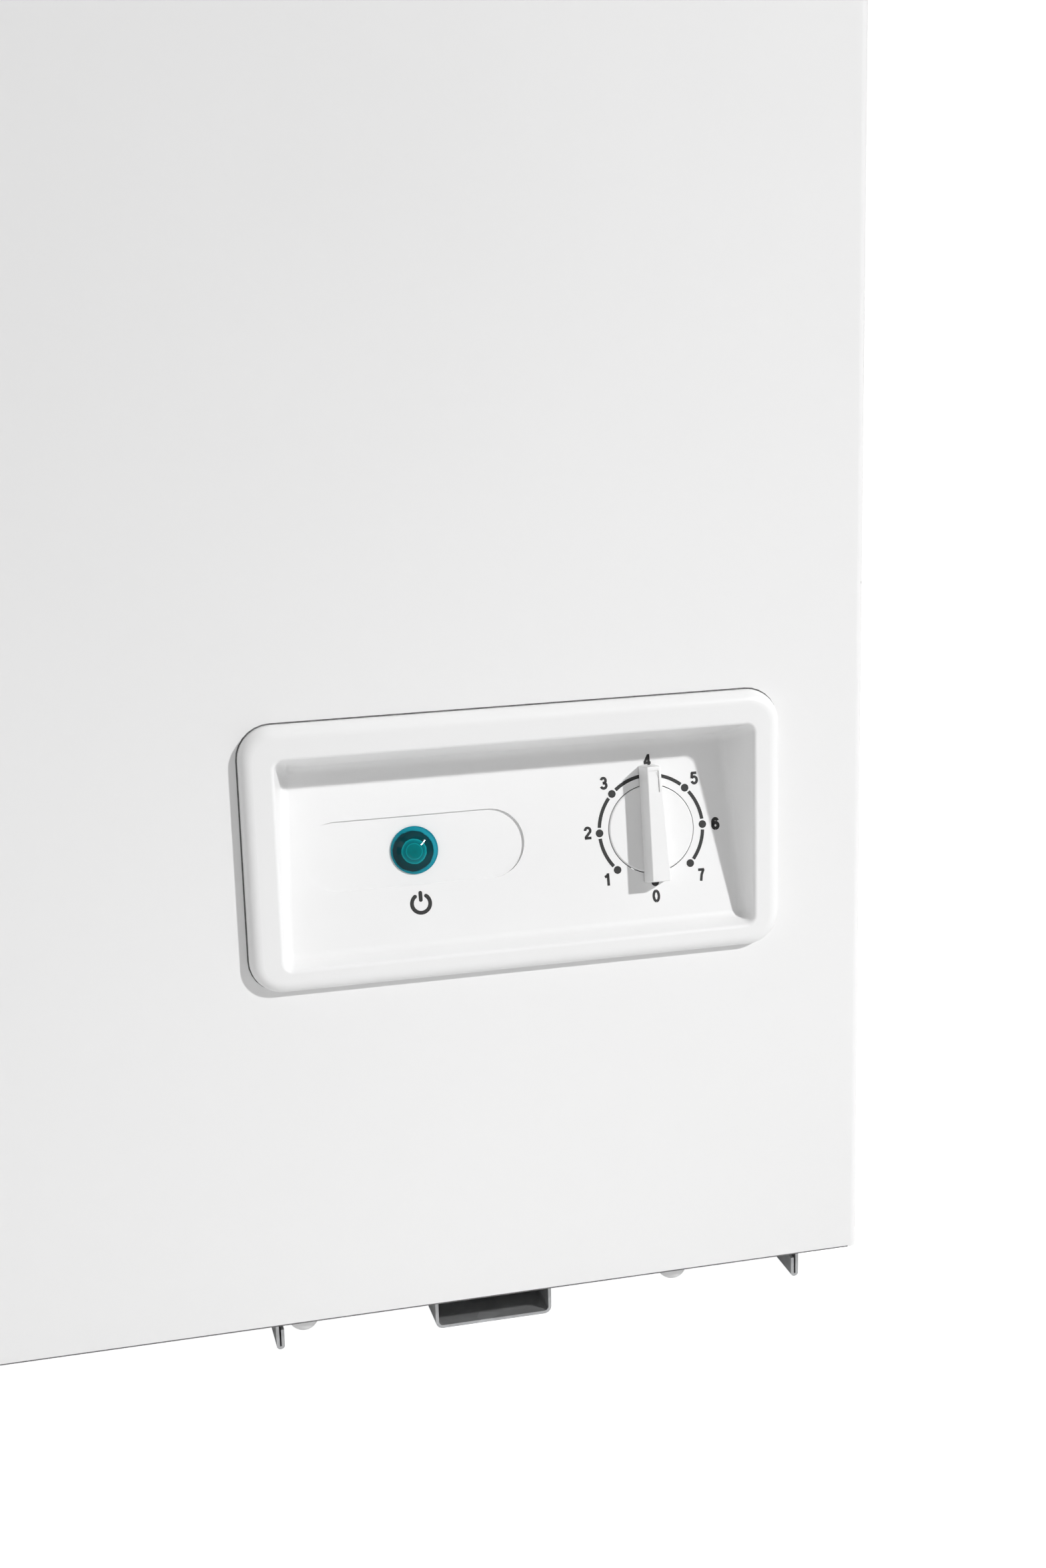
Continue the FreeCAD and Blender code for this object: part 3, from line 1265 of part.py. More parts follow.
def make_basket():
    """Coated wire basket that hangs on the rim's ledge over the bay."""
    rim_r = value("rim_r")
    wire_r = value("wire_r")
    right = value(f"{RIGHT} - wall") - 12
    left = right - value("basket_w")
    ledge_in = value("rim_flat") + 2
    front = value(FRONT) + ledge_in + rim_r
    rear = value(REAR) - ledge_in - rim_r
    rim_z = value("cab_top - rim_drop + rest_gap") + rim_r
    wire_z = rim_z + rim_r + wire_r
    low = wire_z - value("basket_tall")
    body_in = value("wall + skin + rim_plate") + 6
    wall_front = value(FRONT) + body_in + wire_r
    wall_rear = value(REAR) - body_in - wire_r
    loop = [(left, front, rim_z), (right, front, rim_z), (right, rear, rim_z),
            (left, rear, rim_z)]
    wires = [bent(loop, rim_r, 14, closed=True)]
    cross_count = 9
    first = left + 22
    gap = (right - left - 44) / (cross_count - 1)
    for index in range(cross_count):
        x = first + gap * index
        wires.append(bent([(x, front - 1, wire_z), (x, wall_front, wire_z),
                           (x, wall_front, low), (x, wall_rear, low),
                           (x, wall_rear, wire_z), (x, rear + 1, wire_z)], wire_r, 8))
    long_count = 9
    start = wall_front + 26
    gap = (wall_rear - wall_front - 52) / (long_count - 1)
    end_left = left + 10
    end_right = right - 10
    for index in range(long_count):
        y = start + gap * index
        wires.append(bent([(left - 1, y, wire_z), (end_left, y, wire_z),
                           (end_left, y, low + 2 * wire_r), (end_right, y, low + 2 * wire_r),
                           (end_right, y, wire_z), (right + 1, y, wire_z)], wire_r, 6))
    inner = 2 * wire_r + 0.02
    hoop_x = (end_left + inner, end_right - inner)
    hoop_y = (wall_front + inner, wall_rear - inner)
    for height in (0.3, 0.62):
        z = low + height * value("basket_tall")
        hoop = [(hoop_x[0], hoop_y[0], z), (hoop_x[1], hoop_y[0], z),
                (hoop_x[1], hoop_y[1], z), (hoop_x[0], hoop_y[1], z)]
        wires.append(bent(hoop, wire_r, 8, closed=True))
    keep(group(*wires), "wire_basket")


def make_spacers():
    """Plastic stand-offs that keep the rear sheet off the wall behind."""
    spacers = []
    for x in (f"{LEFT} + 60", f"{RIGHT} - 60 - 24"):
        body = pad("z", [(x, REAR), (f"{x} + 24", REAR), (f"{x} + 19", f"{REAR} + hinge_out - 2"),
                         (f"{x} + 5", f"{REAR} + hinge_out - 2")], "420", "460", name="spacer")
        spacers.append(body)
    keep(group(*spacers), "rear_spacers")


# ---------------------------------------------------------------- build, check and write

screw_spots = make_base()
make_compressor()
make_electrics()
coil_items = make_circuit()
make_cabinet(coil_items, screw_spots)
make_drain()
make_grille()
make_rear_cover()
make_bezel()
make_controls()
make_pipes()
make_hinges()
make_lid()
make_basket()
make_spacers()
doc.recompute()

broken = [f"{item.Name} ({item.Label})" for item in doc.Objects
          if "Invalid" in item.State or "Error" in item.State]
if broken:
    raise RuntimeError("failed: " + ", ".join(broken))

os.makedirs("parts", exist_ok=True)
for name, item in nodes.items():
    shape = item.Shape
    if shape.isNull() or not shape.isValid() or not shape.Solids:
        raise RuntimeError(f"{name} has no valid solid")
    shape.exportStep(f"parts/{name}.step")
print(len(nodes), "sub-parts written")
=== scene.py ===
"""Looks of the chest freezer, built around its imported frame."""

import json
import math

import bmesh
import bpy
from mathutils import Matrix, Vector

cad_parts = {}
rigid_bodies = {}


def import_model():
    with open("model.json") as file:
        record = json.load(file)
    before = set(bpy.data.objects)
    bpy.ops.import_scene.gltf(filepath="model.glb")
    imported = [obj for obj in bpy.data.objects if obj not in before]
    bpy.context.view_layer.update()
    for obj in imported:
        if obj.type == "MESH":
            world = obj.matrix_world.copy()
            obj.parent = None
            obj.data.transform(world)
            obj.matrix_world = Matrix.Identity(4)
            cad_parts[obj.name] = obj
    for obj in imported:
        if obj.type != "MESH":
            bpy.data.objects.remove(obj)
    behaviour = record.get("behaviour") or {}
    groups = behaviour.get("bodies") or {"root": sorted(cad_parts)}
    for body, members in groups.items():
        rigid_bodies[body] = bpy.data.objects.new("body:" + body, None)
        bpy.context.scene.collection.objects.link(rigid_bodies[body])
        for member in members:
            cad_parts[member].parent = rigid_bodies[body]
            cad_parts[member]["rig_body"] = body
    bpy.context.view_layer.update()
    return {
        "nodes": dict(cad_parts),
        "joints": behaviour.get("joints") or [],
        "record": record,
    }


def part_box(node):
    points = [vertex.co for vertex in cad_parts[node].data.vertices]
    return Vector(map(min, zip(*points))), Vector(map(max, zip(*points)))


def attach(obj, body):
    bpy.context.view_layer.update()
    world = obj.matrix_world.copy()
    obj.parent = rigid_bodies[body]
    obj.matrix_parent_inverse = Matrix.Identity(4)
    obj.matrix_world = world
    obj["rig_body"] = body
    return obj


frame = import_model()
nodes = frame["nodes"]
MM = 0.001
WELD = 0.001 * MM

dial = next(joint for joint in frame["joints"] if joint["name"] == "dial_turn")
DIAL = Vector(dial["pos_m"])
INTO = Vector(dial["axis"])
ACROSS = Vector((1, 0, 0))
UP = ACROSS.cross(INTO).normalized()
UP *= math.copysign(1, UP.z)
OUT = -INTO

# ---------------------------------------------------------------- material recipes


class Paint:
    """A Principled material whose colour, roughness and relief come from noise."""

    def __init__(self, name, **fixed):
        self.material = bpy.data.materials.new(name)
        self.material.use_nodes = True
        self.tree = self.material.node_tree
        self.shader = self.tree.nodes["Principled BSDF"]
        self.place = self.tree.nodes.new("ShaderNodeTexCoord").outputs["Object"]
        for socket, value in fixed.items():
            self.shader.inputs[socket.replace("_", " ")].default_value = value

    def node(self, kind, **settings):
        """A node of a kind, with its own properties set."""
        made = self.tree.nodes.new(kind)
        for name, value in settings.items():
            setattr(made, name, value)
        return made

    def link(self, source, target):
        """Join an output to an input."""
        self.tree.links.new(source, target)

    def stretched(self, scale):
        """Object coordinates, scaled along each axis."""
        mapping = self.node("ShaderNodeMapping")
        mapping.inputs["Scale"].default_value = scale
        self.link(self.place, mapping.inputs["Vector"])
        return mapping.outputs["Vector"]

    def noise(self, scale, detail=3.0, place=None, rough=0.5):
        """Cloudy noise from 0 to 1."""
        made = self.node("ShaderNodeTexNoise")
        made.inputs["Scale"].default_value = scale
        made.inputs["Detail"].default_value = detail
        made.inputs["Roughness"].default_value = rough
        self.link(place or self.place, made.inputs["Vector"])
        return made.outputs["Fac"]

    def cells(self, scale, output="Distance", feature="F1"):
        """Cells, by their distance or by a number for each."""
        made = self.node("ShaderNodeTexVoronoi", feature=feature)
        made.inputs["Scale"].default_value = scale
        self.link(self.place, made.inputs["Vector"])
        return made.outputs[output]

    def spread(self, source, low, high, start=0.3, stop=0.7):
        """A number moved from one range to another."""
        made = self.node("ShaderNodeMapRange")
        for name, value in (("From Min", start), ("From Max", stop),
                            ("To Min", low), ("To Max", high)):
            made.inputs[name].default_value = value
        self.link(source, made.inputs["Value"])
        return made.outputs["Result"]

    def colour(self, source, first, second, start=0.3, stop=0.7):
        """Base colour that runs between two colours."""
        ramp = self.node("ShaderNodeValToRGB")
        low, high = ramp.color_ramp.elements
        low.position, high.position = start, stop
        low.color, high.color = (*first, 1), (*second, 1)
        self.link(source, ramp.inputs["Fac"])
        self.link(ramp.outputs["Color"], self.shader.inputs["Base Color"])
        return self

    def rough(self, source, low, high):
        """Roughness that varies between two values."""
        self.link(self.spread(source, low, high), self.shader.inputs["Roughness"])
        return self

    def relief(self, source, depth, strength=1.0):
        """Relief of a depth in metres; a second one lies on top of the first."""
        bump = self.node("ShaderNodeBump")
        bump.inputs["Strength"].default_value = strength
        bump.inputs["Distance"].default_value = depth
        self.link(source, bump.inputs["Height"])
        earlier = self.shader.inputs["Normal"].links
        if earlier:
            self.link(earlier[0].from_socket, bump.inputs["Normal"])
        self.link(bump.outputs["Normal"], self.shader.inputs["Normal"])
        return self


def grey(level, warm=0.0):
    """A grey, a little warm or cool."""
    return (level * (1 + warm), level, level * (1 - warm))


def white_steel():
    """Satin powder coat: faint orange peel and a slow change of tone."""
    paint = Paint("white_steel", Coat_Weight=0.15, Coat_Roughness=0.3)
    paint.colour(paint.noise(2.2, 2), grey(0.855, 0.002), grey(0.885, 0.001))
    paint.rough(paint.noise(14), 0.34, 0.44)
    paint.relief(paint.noise(420, 2), 0.00003, 0.5)
    return paint.relief(paint.noise(9, 2), 0.0006, 0.12)


def white_plastic():
    """Moulded plastic with a soft gloss and a fine eroded texture."""
    paint = Paint("white_plastic", IOR=1.46)
    paint.colour(paint.noise(6, 2), grey(0.86, 0.001), grey(0.88, 0.0))
    paint.rough(paint.noise(30), 0.3, 0.4)
    paint.relief(paint.noise(2600, 2), 0.000012, 0.4)
    return paint.relief(paint.noise(40, 2), 0.0001, 0.15)


def soft_white():
    """Soft plug material, a little grey."""
    paint = Paint("soft_white", Sheen_Weight=0.2)
    paint.colour(paint.noise(25), grey(0.74, 0.01), grey(0.8, 0.01))
    paint.rough(paint.noise(60), 0.55, 0.7)
    return paint.relief(paint.noise(900), 0.00003, 0.5)


def grey_gasket():
    """Flexible seal with fine lengthwise ribs."""
    paint = Paint("grey_gasket", Sheen_Weight=0.15)
    paint.colour(paint.noise(18), grey(0.44), grey(0.54))
    paint.rough(paint.noise(50), 0.6, 0.75)
    wave = paint.node("ShaderNodeTexWave", bands_direction="Z")
    wave.inputs["Scale"].default_value = 160
    paint.link(paint.place, wave.inputs["Vector"])
    return paint.relief(wave.outputs["Fac"], 0.0002, 0.4)


def galvanised_steel():
    """Zinc with a faint spangle, and grain from rolling."""
    paint = Paint("galvanised_steel", Metallic=0.75)
    paint.colour(paint.cells(95, "Color"), grey(0.56, -0.01), grey(0.68, -0.01), 0.1, 0.9)
    paint.rough(paint.noise(70), 0.32, 0.5)
    paint.relief(paint.noise(60, 3, paint.stretched((1, 14, 14))), 0.00006, 0.3)
    return paint.relief(paint.cells(95), 0.00008, 0.15)


def liner_aluminium():
    """Embossed sheet: low pebbles a few millimetres apart."""
    paint = Paint("liner_aluminium", Metallic=0.55)
    paint.colour(paint.noise(5), grey(0.82, -0.008), grey(0.9, -0.008))
    paint.rough(paint.noise(40), 0.3, 0.42)
    return paint.relief(paint.cells(240, feature="SMOOTH_F1"), 0.0006, 0.7)


def foam():
    """Rigid foam skin with small broken cells."""
    paint = Paint("foam", Sheen_Weight=0.2)
    paint.colour(paint.noise(30, 5), (0.70, 0.58, 0.34), (0.82, 0.72, 0.46))
    paint.rough(paint.noise(60), 0.8, 0.95)
    paint.relief(paint.cells(700), 0.0004, 0.6)
    return paint.relief(paint.noise(25, 4), 0.003, 0.4)


def screw_steel():
    """Zinc plating with turning marks."""
    paint = Paint("screw_steel", Metallic=1.0)
    paint.colour(paint.noise(300), grey(0.55, 0.01), grey(0.72, 0.01))
    paint.rough(paint.noise(500), 0.22, 0.4)
    return paint.relief(paint.noise(1500, 2), 0.00003, 0.4)


def black_steel():
    """Black enamel over a drawn pot, with a film of dust."""
    paint = Paint("black_steel", Coat_Weight=0.5, Coat_Roughness=0.25)
    paint.colour(paint.noise(35, 6), grey(0.012), grey(0.035, 0.02), 0.35, 0.75)
    paint.rough(paint.noise(30, 5), 0.3, 0.5)
    return paint.relief(paint.noise(260), 0.0001, 0.4)


def black_rubber():
    """Matt moulded rubber."""
    paint = Paint("black_rubber", Sheen_Weight=0.1)
    paint.colour(paint.noise(60), grey(0.018), grey(0.035))
    paint.rough(paint.noise(80), 0.65, 0.85)
    return paint.relief(paint.noise(1100), 0.00005, 0.6)


def black_plastic():
    """Matt moulded housing."""
    paint = Paint("black_plastic")
    paint.colour(paint.noise(50), grey(0.025), grey(0.045))
    paint.rough(paint.noise(70), 0.45, 0.6)
    return paint.relief(paint.noise(1500), 0.00004, 0.5)


def copper():
    """Drawn copper, tarnished in patches."""
    paint = Paint("copper", Metallic=1.0)
    paint.colour(paint.noise(28, 5), (0.36, 0.13, 0.06), (0.78, 0.36, 0.2))
    paint.rough(paint.noise(60), 0.2, 0.42)
    return paint.relief(paint.noise(500, 2, paint.stretched((1, 1, 0.1))), 0.00004, 0.3)


# Painted light of the lens by distance from the middle, in millimetres: a painted view of the
# lamp, painted highlight rings, a painted dark ring of shade and a painted bright rim.
LENS_PAINTED_LIGHT = ((0.0, (0.0008, 0.15, 0.155)), (2.6, (0.001, 0.17, 0.18)),
              (2.9, (0.004, 0.29, 0.31)), (3.2, (0.001, 0.13, 0.15)),
              (4.1, (0.0015, 0.19, 0.215)), (4.4, (0.006, 0.34, 0.37)),
              (4.7, (0.0004, 0.048, 0.058)), (7.2, (0.0003, 0.034, 0.044)),
              (7.6, (0.003, 0.24, 0.31)), (8.5, (0.004, 0.25, 0.33)),
              (9.0, (0.003, 0.18, 0.24)))
# The painted rings are centred a little off the axis, so the painted bright rim is wider on
# one side.
PAINTED_RING_SHIFT = (-0.75, -0.7)
LENS_WAVE = 0.5 * MM


def teal_lens():
    """Tinted dome with painted light: a painted bright rim, a painted dark ring of shade and a
    painted view of the lamp in the middle.
    """
    paint = Paint("teal_lens", IOR=1.45, Coat_Weight=0.28, Coat_Roughness=0.04)
    paint.shader.inputs["Specular IOR Level"].default_value = 0.05
    low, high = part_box("indicator_lens")
    from_middle = paint.node("ShaderNodeVectorMath", operation="SUBTRACT")
    paint.link(paint.place, from_middle.inputs[0])
    shift = ACROSS * PAINTED_RING_SHIFT[0] * MM + UP * PAINTED_RING_SHIFT[1] * MM
    from_middle.inputs[1].default_value = (low + high) / 2 + shift
    sideways = paint.node("ShaderNodeVectorMath", operation="CROSS_PRODUCT")
    paint.link(from_middle.outputs[0], sideways.inputs[0])
    sideways.inputs[1].default_value = INTO
    radius = paint.node("ShaderNodeVectorMath", operation="LENGTH")
    paint.link(sideways.outputs[0], radius.inputs[0])
    wavy = paint.node("ShaderNodeMath", operation="MULTIPLY_ADD")
    paint.link(paint.noise(500, 1), wavy.inputs[0])
    wavy.inputs[1].default_value = LENS_WAVE
    paint.link(radius.outputs["Value"], wavy.inputs[2])
    ramp = paint.node("ShaderNodeValToRGB")
    reach = LENS_PAINTED_LIGHT[-1][0]
    elements = ramp.color_ramp.elements
    while len(elements) < len(LENS_PAINTED_LIGHT):
        elements.new(0.5)
    for element, (distance, colour) in zip(elements, LENS_PAINTED_LIGHT):
        element.position = distance / reach
        element.color = (*colour, 1)
    share = paint.spread(wavy.outputs[0], 0, 1, LENS_WAVE / 2, reach * MM + LENS_WAVE / 2)
    paint.link(share, ramp.inputs["Fac"])
    paint.link(ramp.outputs["Color"], paint.shader.inputs["Base Color"])
    paint.rough(paint.noise(300), 0.02, 0.08)
    return paint.relief(paint.noise(260, 1), 0.00003, 0.2)


def lamp_glass():
    """Small lamp behind the lens."""
    paint = Paint("lamp_glass", IOR=1.5, Transmission_Weight=0.3, Coat_Weight=0.8)
    paint.colour(paint.noise(200), (0.1, 0.55, 0.55), (0.25, 0.75, 0.72))
    paint.rough(paint.noise(300), 0.05, 0.15)
    return paint.relief(paint.noise(900), 0.00002, 0.3)


def shaft_nylon():
    """Natural nylon."""
    paint = Paint("shaft_nylon")
    paint.colour(paint.noise(90), grey(0.62, 0.03), grey(0.72, 0.03))
    paint.rough(paint.noise(120), 0.4, 0.55)
    return paint.relief(paint.noise(900), 0.00003, 0.4)


def basket_wire():
    """White dip coating, thicker where it ran."""
    paint = Paint("basket_wire", Coat_Weight=0.3, Coat_Roughness=0.2)
    paint.colour(paint.noise(40), grey(0.8, 0.004), grey(0.88, 0.002))
    paint.rough(paint.noise(90), 0.25, 0.38)
    return paint.relief(paint.noise(220), 0.0002, 0.4)


def print_ink():
    """Pad-printed ink."""
    paint = Paint("print_ink")
    paint.colour(paint.noise(900), grey(0.02), grey(0.03))
    paint.rough(paint.noise(700), 0.45, 0.6)
    return paint.relief(paint.noise(2500), 0.000005, 0.4)


def engraving():
    """Painted shade: the shaded floor of a fine engraved line in the knob, drawn flat on its
    top.
    """
    paint = Paint("engraving")
    paint.colour(paint.noise(600), grey(0.66), grey(0.72))
    paint.rough(paint.noise(500), 0.4, 0.5)
    return paint.relief(paint.noise(2500), 0.000005, 0.4)


def seam_shade():
    """Painted shade: a dark band for the shaded gap between the bezel and the wall, and for
    the shaded lower edge of the front wall.
    """
    paint = Paint("seam_shade")
    paint.colour(paint.noise(400), grey(0.1), grey(0.2))
    paint.rough(paint.noise(300), 0.7, 0.9)
    return paint.relief(paint.noise(2500), 0.000005, 0.4)


def recess_dark():
    """Painted shade: the dark of a screw's cross recess, drawn flat on the head."""
    paint = Paint("recess_dark", Metallic=0.6)
    paint.colour(paint.noise(900), grey(0.05), grey(0.1))
    paint.rough(paint.noise(500), 0.4, 0.6)
    return paint.relief(paint.noise(2500), 0.00001, 0.4)


RECIPES = (white_steel, white_plastic, soft_white, grey_gasket, galvanised_steel,
           liner_aluminium, foam, screw_steel, black_steel, black_rubber, black_plastic,
           copper, teal_lens, lamp_glass, shaft_nylon, basket_wire, print_ink, engraving,
           seam_shade, recess_dark)
finish_of = {recipe.__name__: recipe().material for recipe in RECIPES}

for part in frame["record"]["subparts"]:
    mesh = nodes[part["node"]].data
    if not mesh.materials:
        mesh.materials.append(None)
    for index in range(len(mesh.materials)):
        mesh.materials[index] = finish_of[part["material_slot"]]

# ---------------------------------------------------------------- printed and small pieces

INK_LIFT = 0.02 * MM
INK_DEEP = 0.03 * MM


def plate_place(across, up, out):
    """A point in the dial plate's frame, in millimetres from the dial's centre."""
    return DIAL + ACROSS * across * MM + UP * up * MM + OUT * out


def piece(name, mesh, body, finish):
    """A finished mesh in place, riding on a body."""
    made = bpy.data.objects.new(name, mesh)
    bpy.context.scene.collection.objects.link(made)
    made.data.materials.clear()
    made.data.materials.append(finish_of[finish])
    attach(made, body)
    return made


def slab_mesh(name, outlines, low, high, at=plate_place):
    """Flat closed shapes given as outlines, with a thickness; touching ones are joined."""
    mesh = bpy.data.meshes.new(name)
    work = bmesh.new()
    for outline in outlines:
        rings = [[work.verts.new(at(x, y, out)) for x, y in outline] for out in (low, high)]
        work.faces.new(rings[1])
        work.faces.new(rings[0][::-1])
        count = len(outline)
        for index in range(count):
            after = (index + 1) % count
            work.faces.new((rings[0][index], rings[0][after],
                            rings[1][after], rings[1][index]))
    bmesh.ops.remove_doubles(work, verts=work.verts, dist=WELD)
    inside = [face for face in work.faces
              if all(len(edge.link_faces) > 2 for edge in face.edges)]
    bmesh.ops.delete(work, geom=inside, context="FACES_ONLY")
    bmesh.ops.recalc_face_normals(work, faces=work.faces)
    work.to_mesh(mesh)
    work.free()
    return mesh


def round_dot(across, up, radius, steps=32):
    """Outline of a dot."""
    return [(across + radius * math.cos(math.tau * index / steps),
             up + radius * math.sin(math.tau * index / steps)) for index in range(steps)]


END_STEPS = 8
ARC_STEP_DEG = 2
ARC_STEPS_LEAST = 6


def arc_band(across, up, radius, width, start, stop, round_ends=False):
    """Outline of a band along an arc, by clockwise degrees from the top."""
    steps = max(ARC_STEPS_LEAST, int(abs(stop - start) / ARC_STEP_DEG))
    half = width / 2

    def ring(distance, order):
        return [(across + distance * math.sin(math.radians(start + (stop - start) * t)),
                 up + distance * math.cos(math.radians(start + (stop - start) * t)))
                for t in order]

    forward = [index / steps for index in range(steps + 1)]
    outer = ring(radius + half, forward)
    inner = ring(radius - half, forward[::-1])
    if not round_ends:
        return outer + inner
    caps = []
    for angle, way in ((stop, 1), (start, -1)):
        turn = math.radians(angle)
        middle = (across + radius * math.sin(turn), up + radius * math.cos(turn))
        cap = []
        for index in range(1, END_STEPS):
            lean = math.pi * index / END_STEPS
            along = half * math.sin(lean) * way
            side = half * math.cos(lean) * way
            cap.append((middle[0] + along * math.cos(turn) + side * math.sin(turn),
                        middle[1] - along * math.sin(turn) + side * math.cos(turn)))
        caps.append(cap)
    return outer + caps[0] + inner + caps[1]


def stroke(points, width):
    """Outline of a straight stroke with round ends."""
    (x0, y0), (x1, y1) = points
    heading = math.atan2(y1 - y0, x1 - x0)
    outline = []
    for x, y, base in ((x1, y1, heading - math.pi / 2), (x0, y0, heading + math.pi / 2)):
        for index in range(END_STEPS + 1):
            angle = base + math.pi * index / END_STEPS
            outline.append((x + width / 2 * math.cos(angle),
                            y + width / 2 * math.sin(angle)))
    return outline


RING_R = 19.95
DOT_R = 1.45
LINE_W = 1.3
GAP_DEG = 5.8
STEP_DEG = 45
dots = [round_dot(RING_R * math.sin(math.radians(STEP_DEG * k)),
                  RING_R * math.cos(math.radians(STEP_DEG * k)), DOT_R)
        for k in range(-4, 4)]
piece("dial_dots", slab_mesh("dial_dots", dots, INK_LIFT, INK_LIFT + INK_DEEP),
      "cabinet", "print_ink")
arcs = [arc_band(0, 0, RING_R, LINE_W, STEP_DEG * k + GAP_DEG, STEP_DEG * (k + 1) - GAP_DEG)
        for k in range(-3, 3)]
piece("dial_arcs", slab_mesh("dial_arcs", arcs, INK_LIFT, INK_LIFT + INK_DEEP),
      "cabinet", "print_ink")

DIGIT_TALL = 4.8
DIGIT_LINE = 0.98
DIGIT_WIDE = 1.9
LEAST_MITRE = 0.5


def ribbon(points, width):
    """Outline of a band of even width along a path, with square ends."""
    path = [Vector(point) for point in points]
    left, right = [], []
    for index, here in enumerate(path):
        before = here - path[index - 1] if index else path[1] - here
        after = path[index + 1] - here if index + 1 < len(path) else before
        side = (before.normalized() + after.normalized()).normalized()
        reach = width / 2 / max(LEAST_MITRE, side.dot(after.normalized()))
        normal = Vector((-side.y, side.x)) * reach
        left.append(here + normal)
        right.append(here - normal)
    return left + right[::-1]


BEND_STEP_DEG = 12
BEND_STEPS_LEAST = 4


def bend(x, y, wide, tall, start, stop):
    """Points along an ellipse, by degrees from the right, anticlockwise."""
    steps = max(BEND_STEPS_LEAST, int(abs(stop - start) / BEND_STEP_DEG))
    angles = [math.radians(start + (stop - start) * k / steps) for k in range(steps + 1)]
    return [(x + wide * math.cos(angle), y + tall * math.sin(angle)) for angle in angles]


# Each digit is a set of paths in a box from -0.55 to 0.55 and from -1 to 1.
DIGIT_PATHS = {
    "0": (bend(0, 0, 0.52, 1, 90, 270), bend(0, 0, 0.52, 1, -90, 90)),
    "1": ([(0.2, -1.2), (0.2, 1.2)], [(-0.45, 0.5), (-0.1, 0.64), (0.2, 0.98)]),
    "2": (bend(0, 0.45, 0.52, 0.55, 180, -30) + [(-0.42, -0.8), (-0.46, -1.05)],
          [(-0.66, -1), (0.66, -1)]),
    "3": (bend(0, 0.5, 0.46, 0.5, 165, -90) + [(-0.16, 0)],
          [(-0.16, 0.04)] + bend(0, -0.47, 0.54, 0.53, 90, -165)),
    "4": ([(0.26, -1.2), (0.26, 1.2)], [(-0.72, -0.47), (0.68, -0.47)],
          [(0.24, 1.02), (-0.56, -0.4)]),
    "5": ([(-0.5, 1), (0.56, 1)], [(-0.36, 1.1), (-0.46, -0.02)],
          bend(0, -0.36, 0.54, 0.64, 145, -160)),
    "6": (bend(0.02, 0.3, 0.52, 0.7, 25, 180) + [(-0.51, -0.4)],
          bend(0, -0.4, 0.53, 0.6, 90, 270), bend(0, -0.4, 0.53, 0.6, -90, 90)),
    "7": ([(-0.6, 1), (0.64, 1)], [(0.5, 1.05), (0.06, 0.05), (-0.14, -1.2)]),
}
# The middle of each digit from the dial's centre, in millimetres.
DIGIT_AT = {"4": (0.4, 25.4), "5": (18.0, 17.4), "6": (25.0, -0.2), "7": (18.1, -18.8),
            "0": (0.0, -25.1), "1": (-18.3, -17.3), "2": (-24.4, 0.5), "3": (-17.0, 18.3)}
HEAVY = {"6": 1.25}

for digit, paths in DIGIT_PATHS.items():
    x, y = DIGIT_AT[digit]
    line = DIGIT_LINE * HEAVY.get(digit, 1)
    half = (DIGIT_TALL - line) / 2
    drawn = [ribbon([(x + across * DIGIT_WIDE, y + up * half) for across, up in path], line)
             for path in paths]
    piece("dial_digit_" + digit,
          slab_mesh("dial_digit_" + digit, drawn, INK_LIFT, INK_LIFT + INK_DEEP),
          "cabinet", "print_ink")

POWER_X = -88.6
POWER_Y = -19.5
POWER_R = 3.35
POWER_W = 1.38
POWER_GAP = 37
POWER_TOP = 4.6
POWER_LOW = 0.6
power = [arc_band(POWER_X, POWER_Y, POWER_R, POWER_W, POWER_GAP, 360 - POWER_GAP, True),
         stroke([(POWER_X, POWER_Y + POWER_LOW + POWER_W / 2),
                 (POWER_X, POWER_Y + POWER_TOP - POWER_W / 2)], POWER_W)]
piece("power_mark", slab_mesh("power_mark", power, INK_LIFT, INK_LIFT + INK_DEEP),
      "cabinet", "print_ink")

BEZEL_CORNER = 12 * MM
GAP_SHADE_WIDE = 0.5 * MM
wall_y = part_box("outer_shell")[0].y
bezel_low, bezel_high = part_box("control_bezel")


def wall_place(x, z, out):
    """A point on the front wall, in metres."""
    return Vector((x, wall_y - out, z))


def bezel_outline(grow):
    """Outline of the bezel on the wall, grown by a distance."""
    outline = []
    for quarter in range(4):
        right = quarter in (0, 3)
        top = quarter in (0, 1)
        x = bezel_high.x - BEZEL_CORNER if right else bezel_low.x + BEZEL_CORNER
        z = bezel_high.z - BEZEL_CORNER if top else bezel_low.z + BEZEL_CORNER
        outline += bend(x, z, BEZEL_CORNER + grow, BEZEL_CORNER + grow,
                        90 * quarter, 90 * quarter + 90)
    return outline


# Painted shade: a dark band around the bezel stands in for the shade in the gap between the
# bezel and the wall.
inner, outer = bezel_outline(0), bezel_outline(GAP_SHADE_WIDE)
gap_shade = [(inner[k - 1], outer[k - 1], outer[k], inner[k]) for k in range(len(inner))]
piece("bezel_seam", slab_mesh("bezel_seam", gap_shade, INK_LIFT, INK_LIFT + INK_DEEP, wall_place),
      "cabinet", "seam_shade")

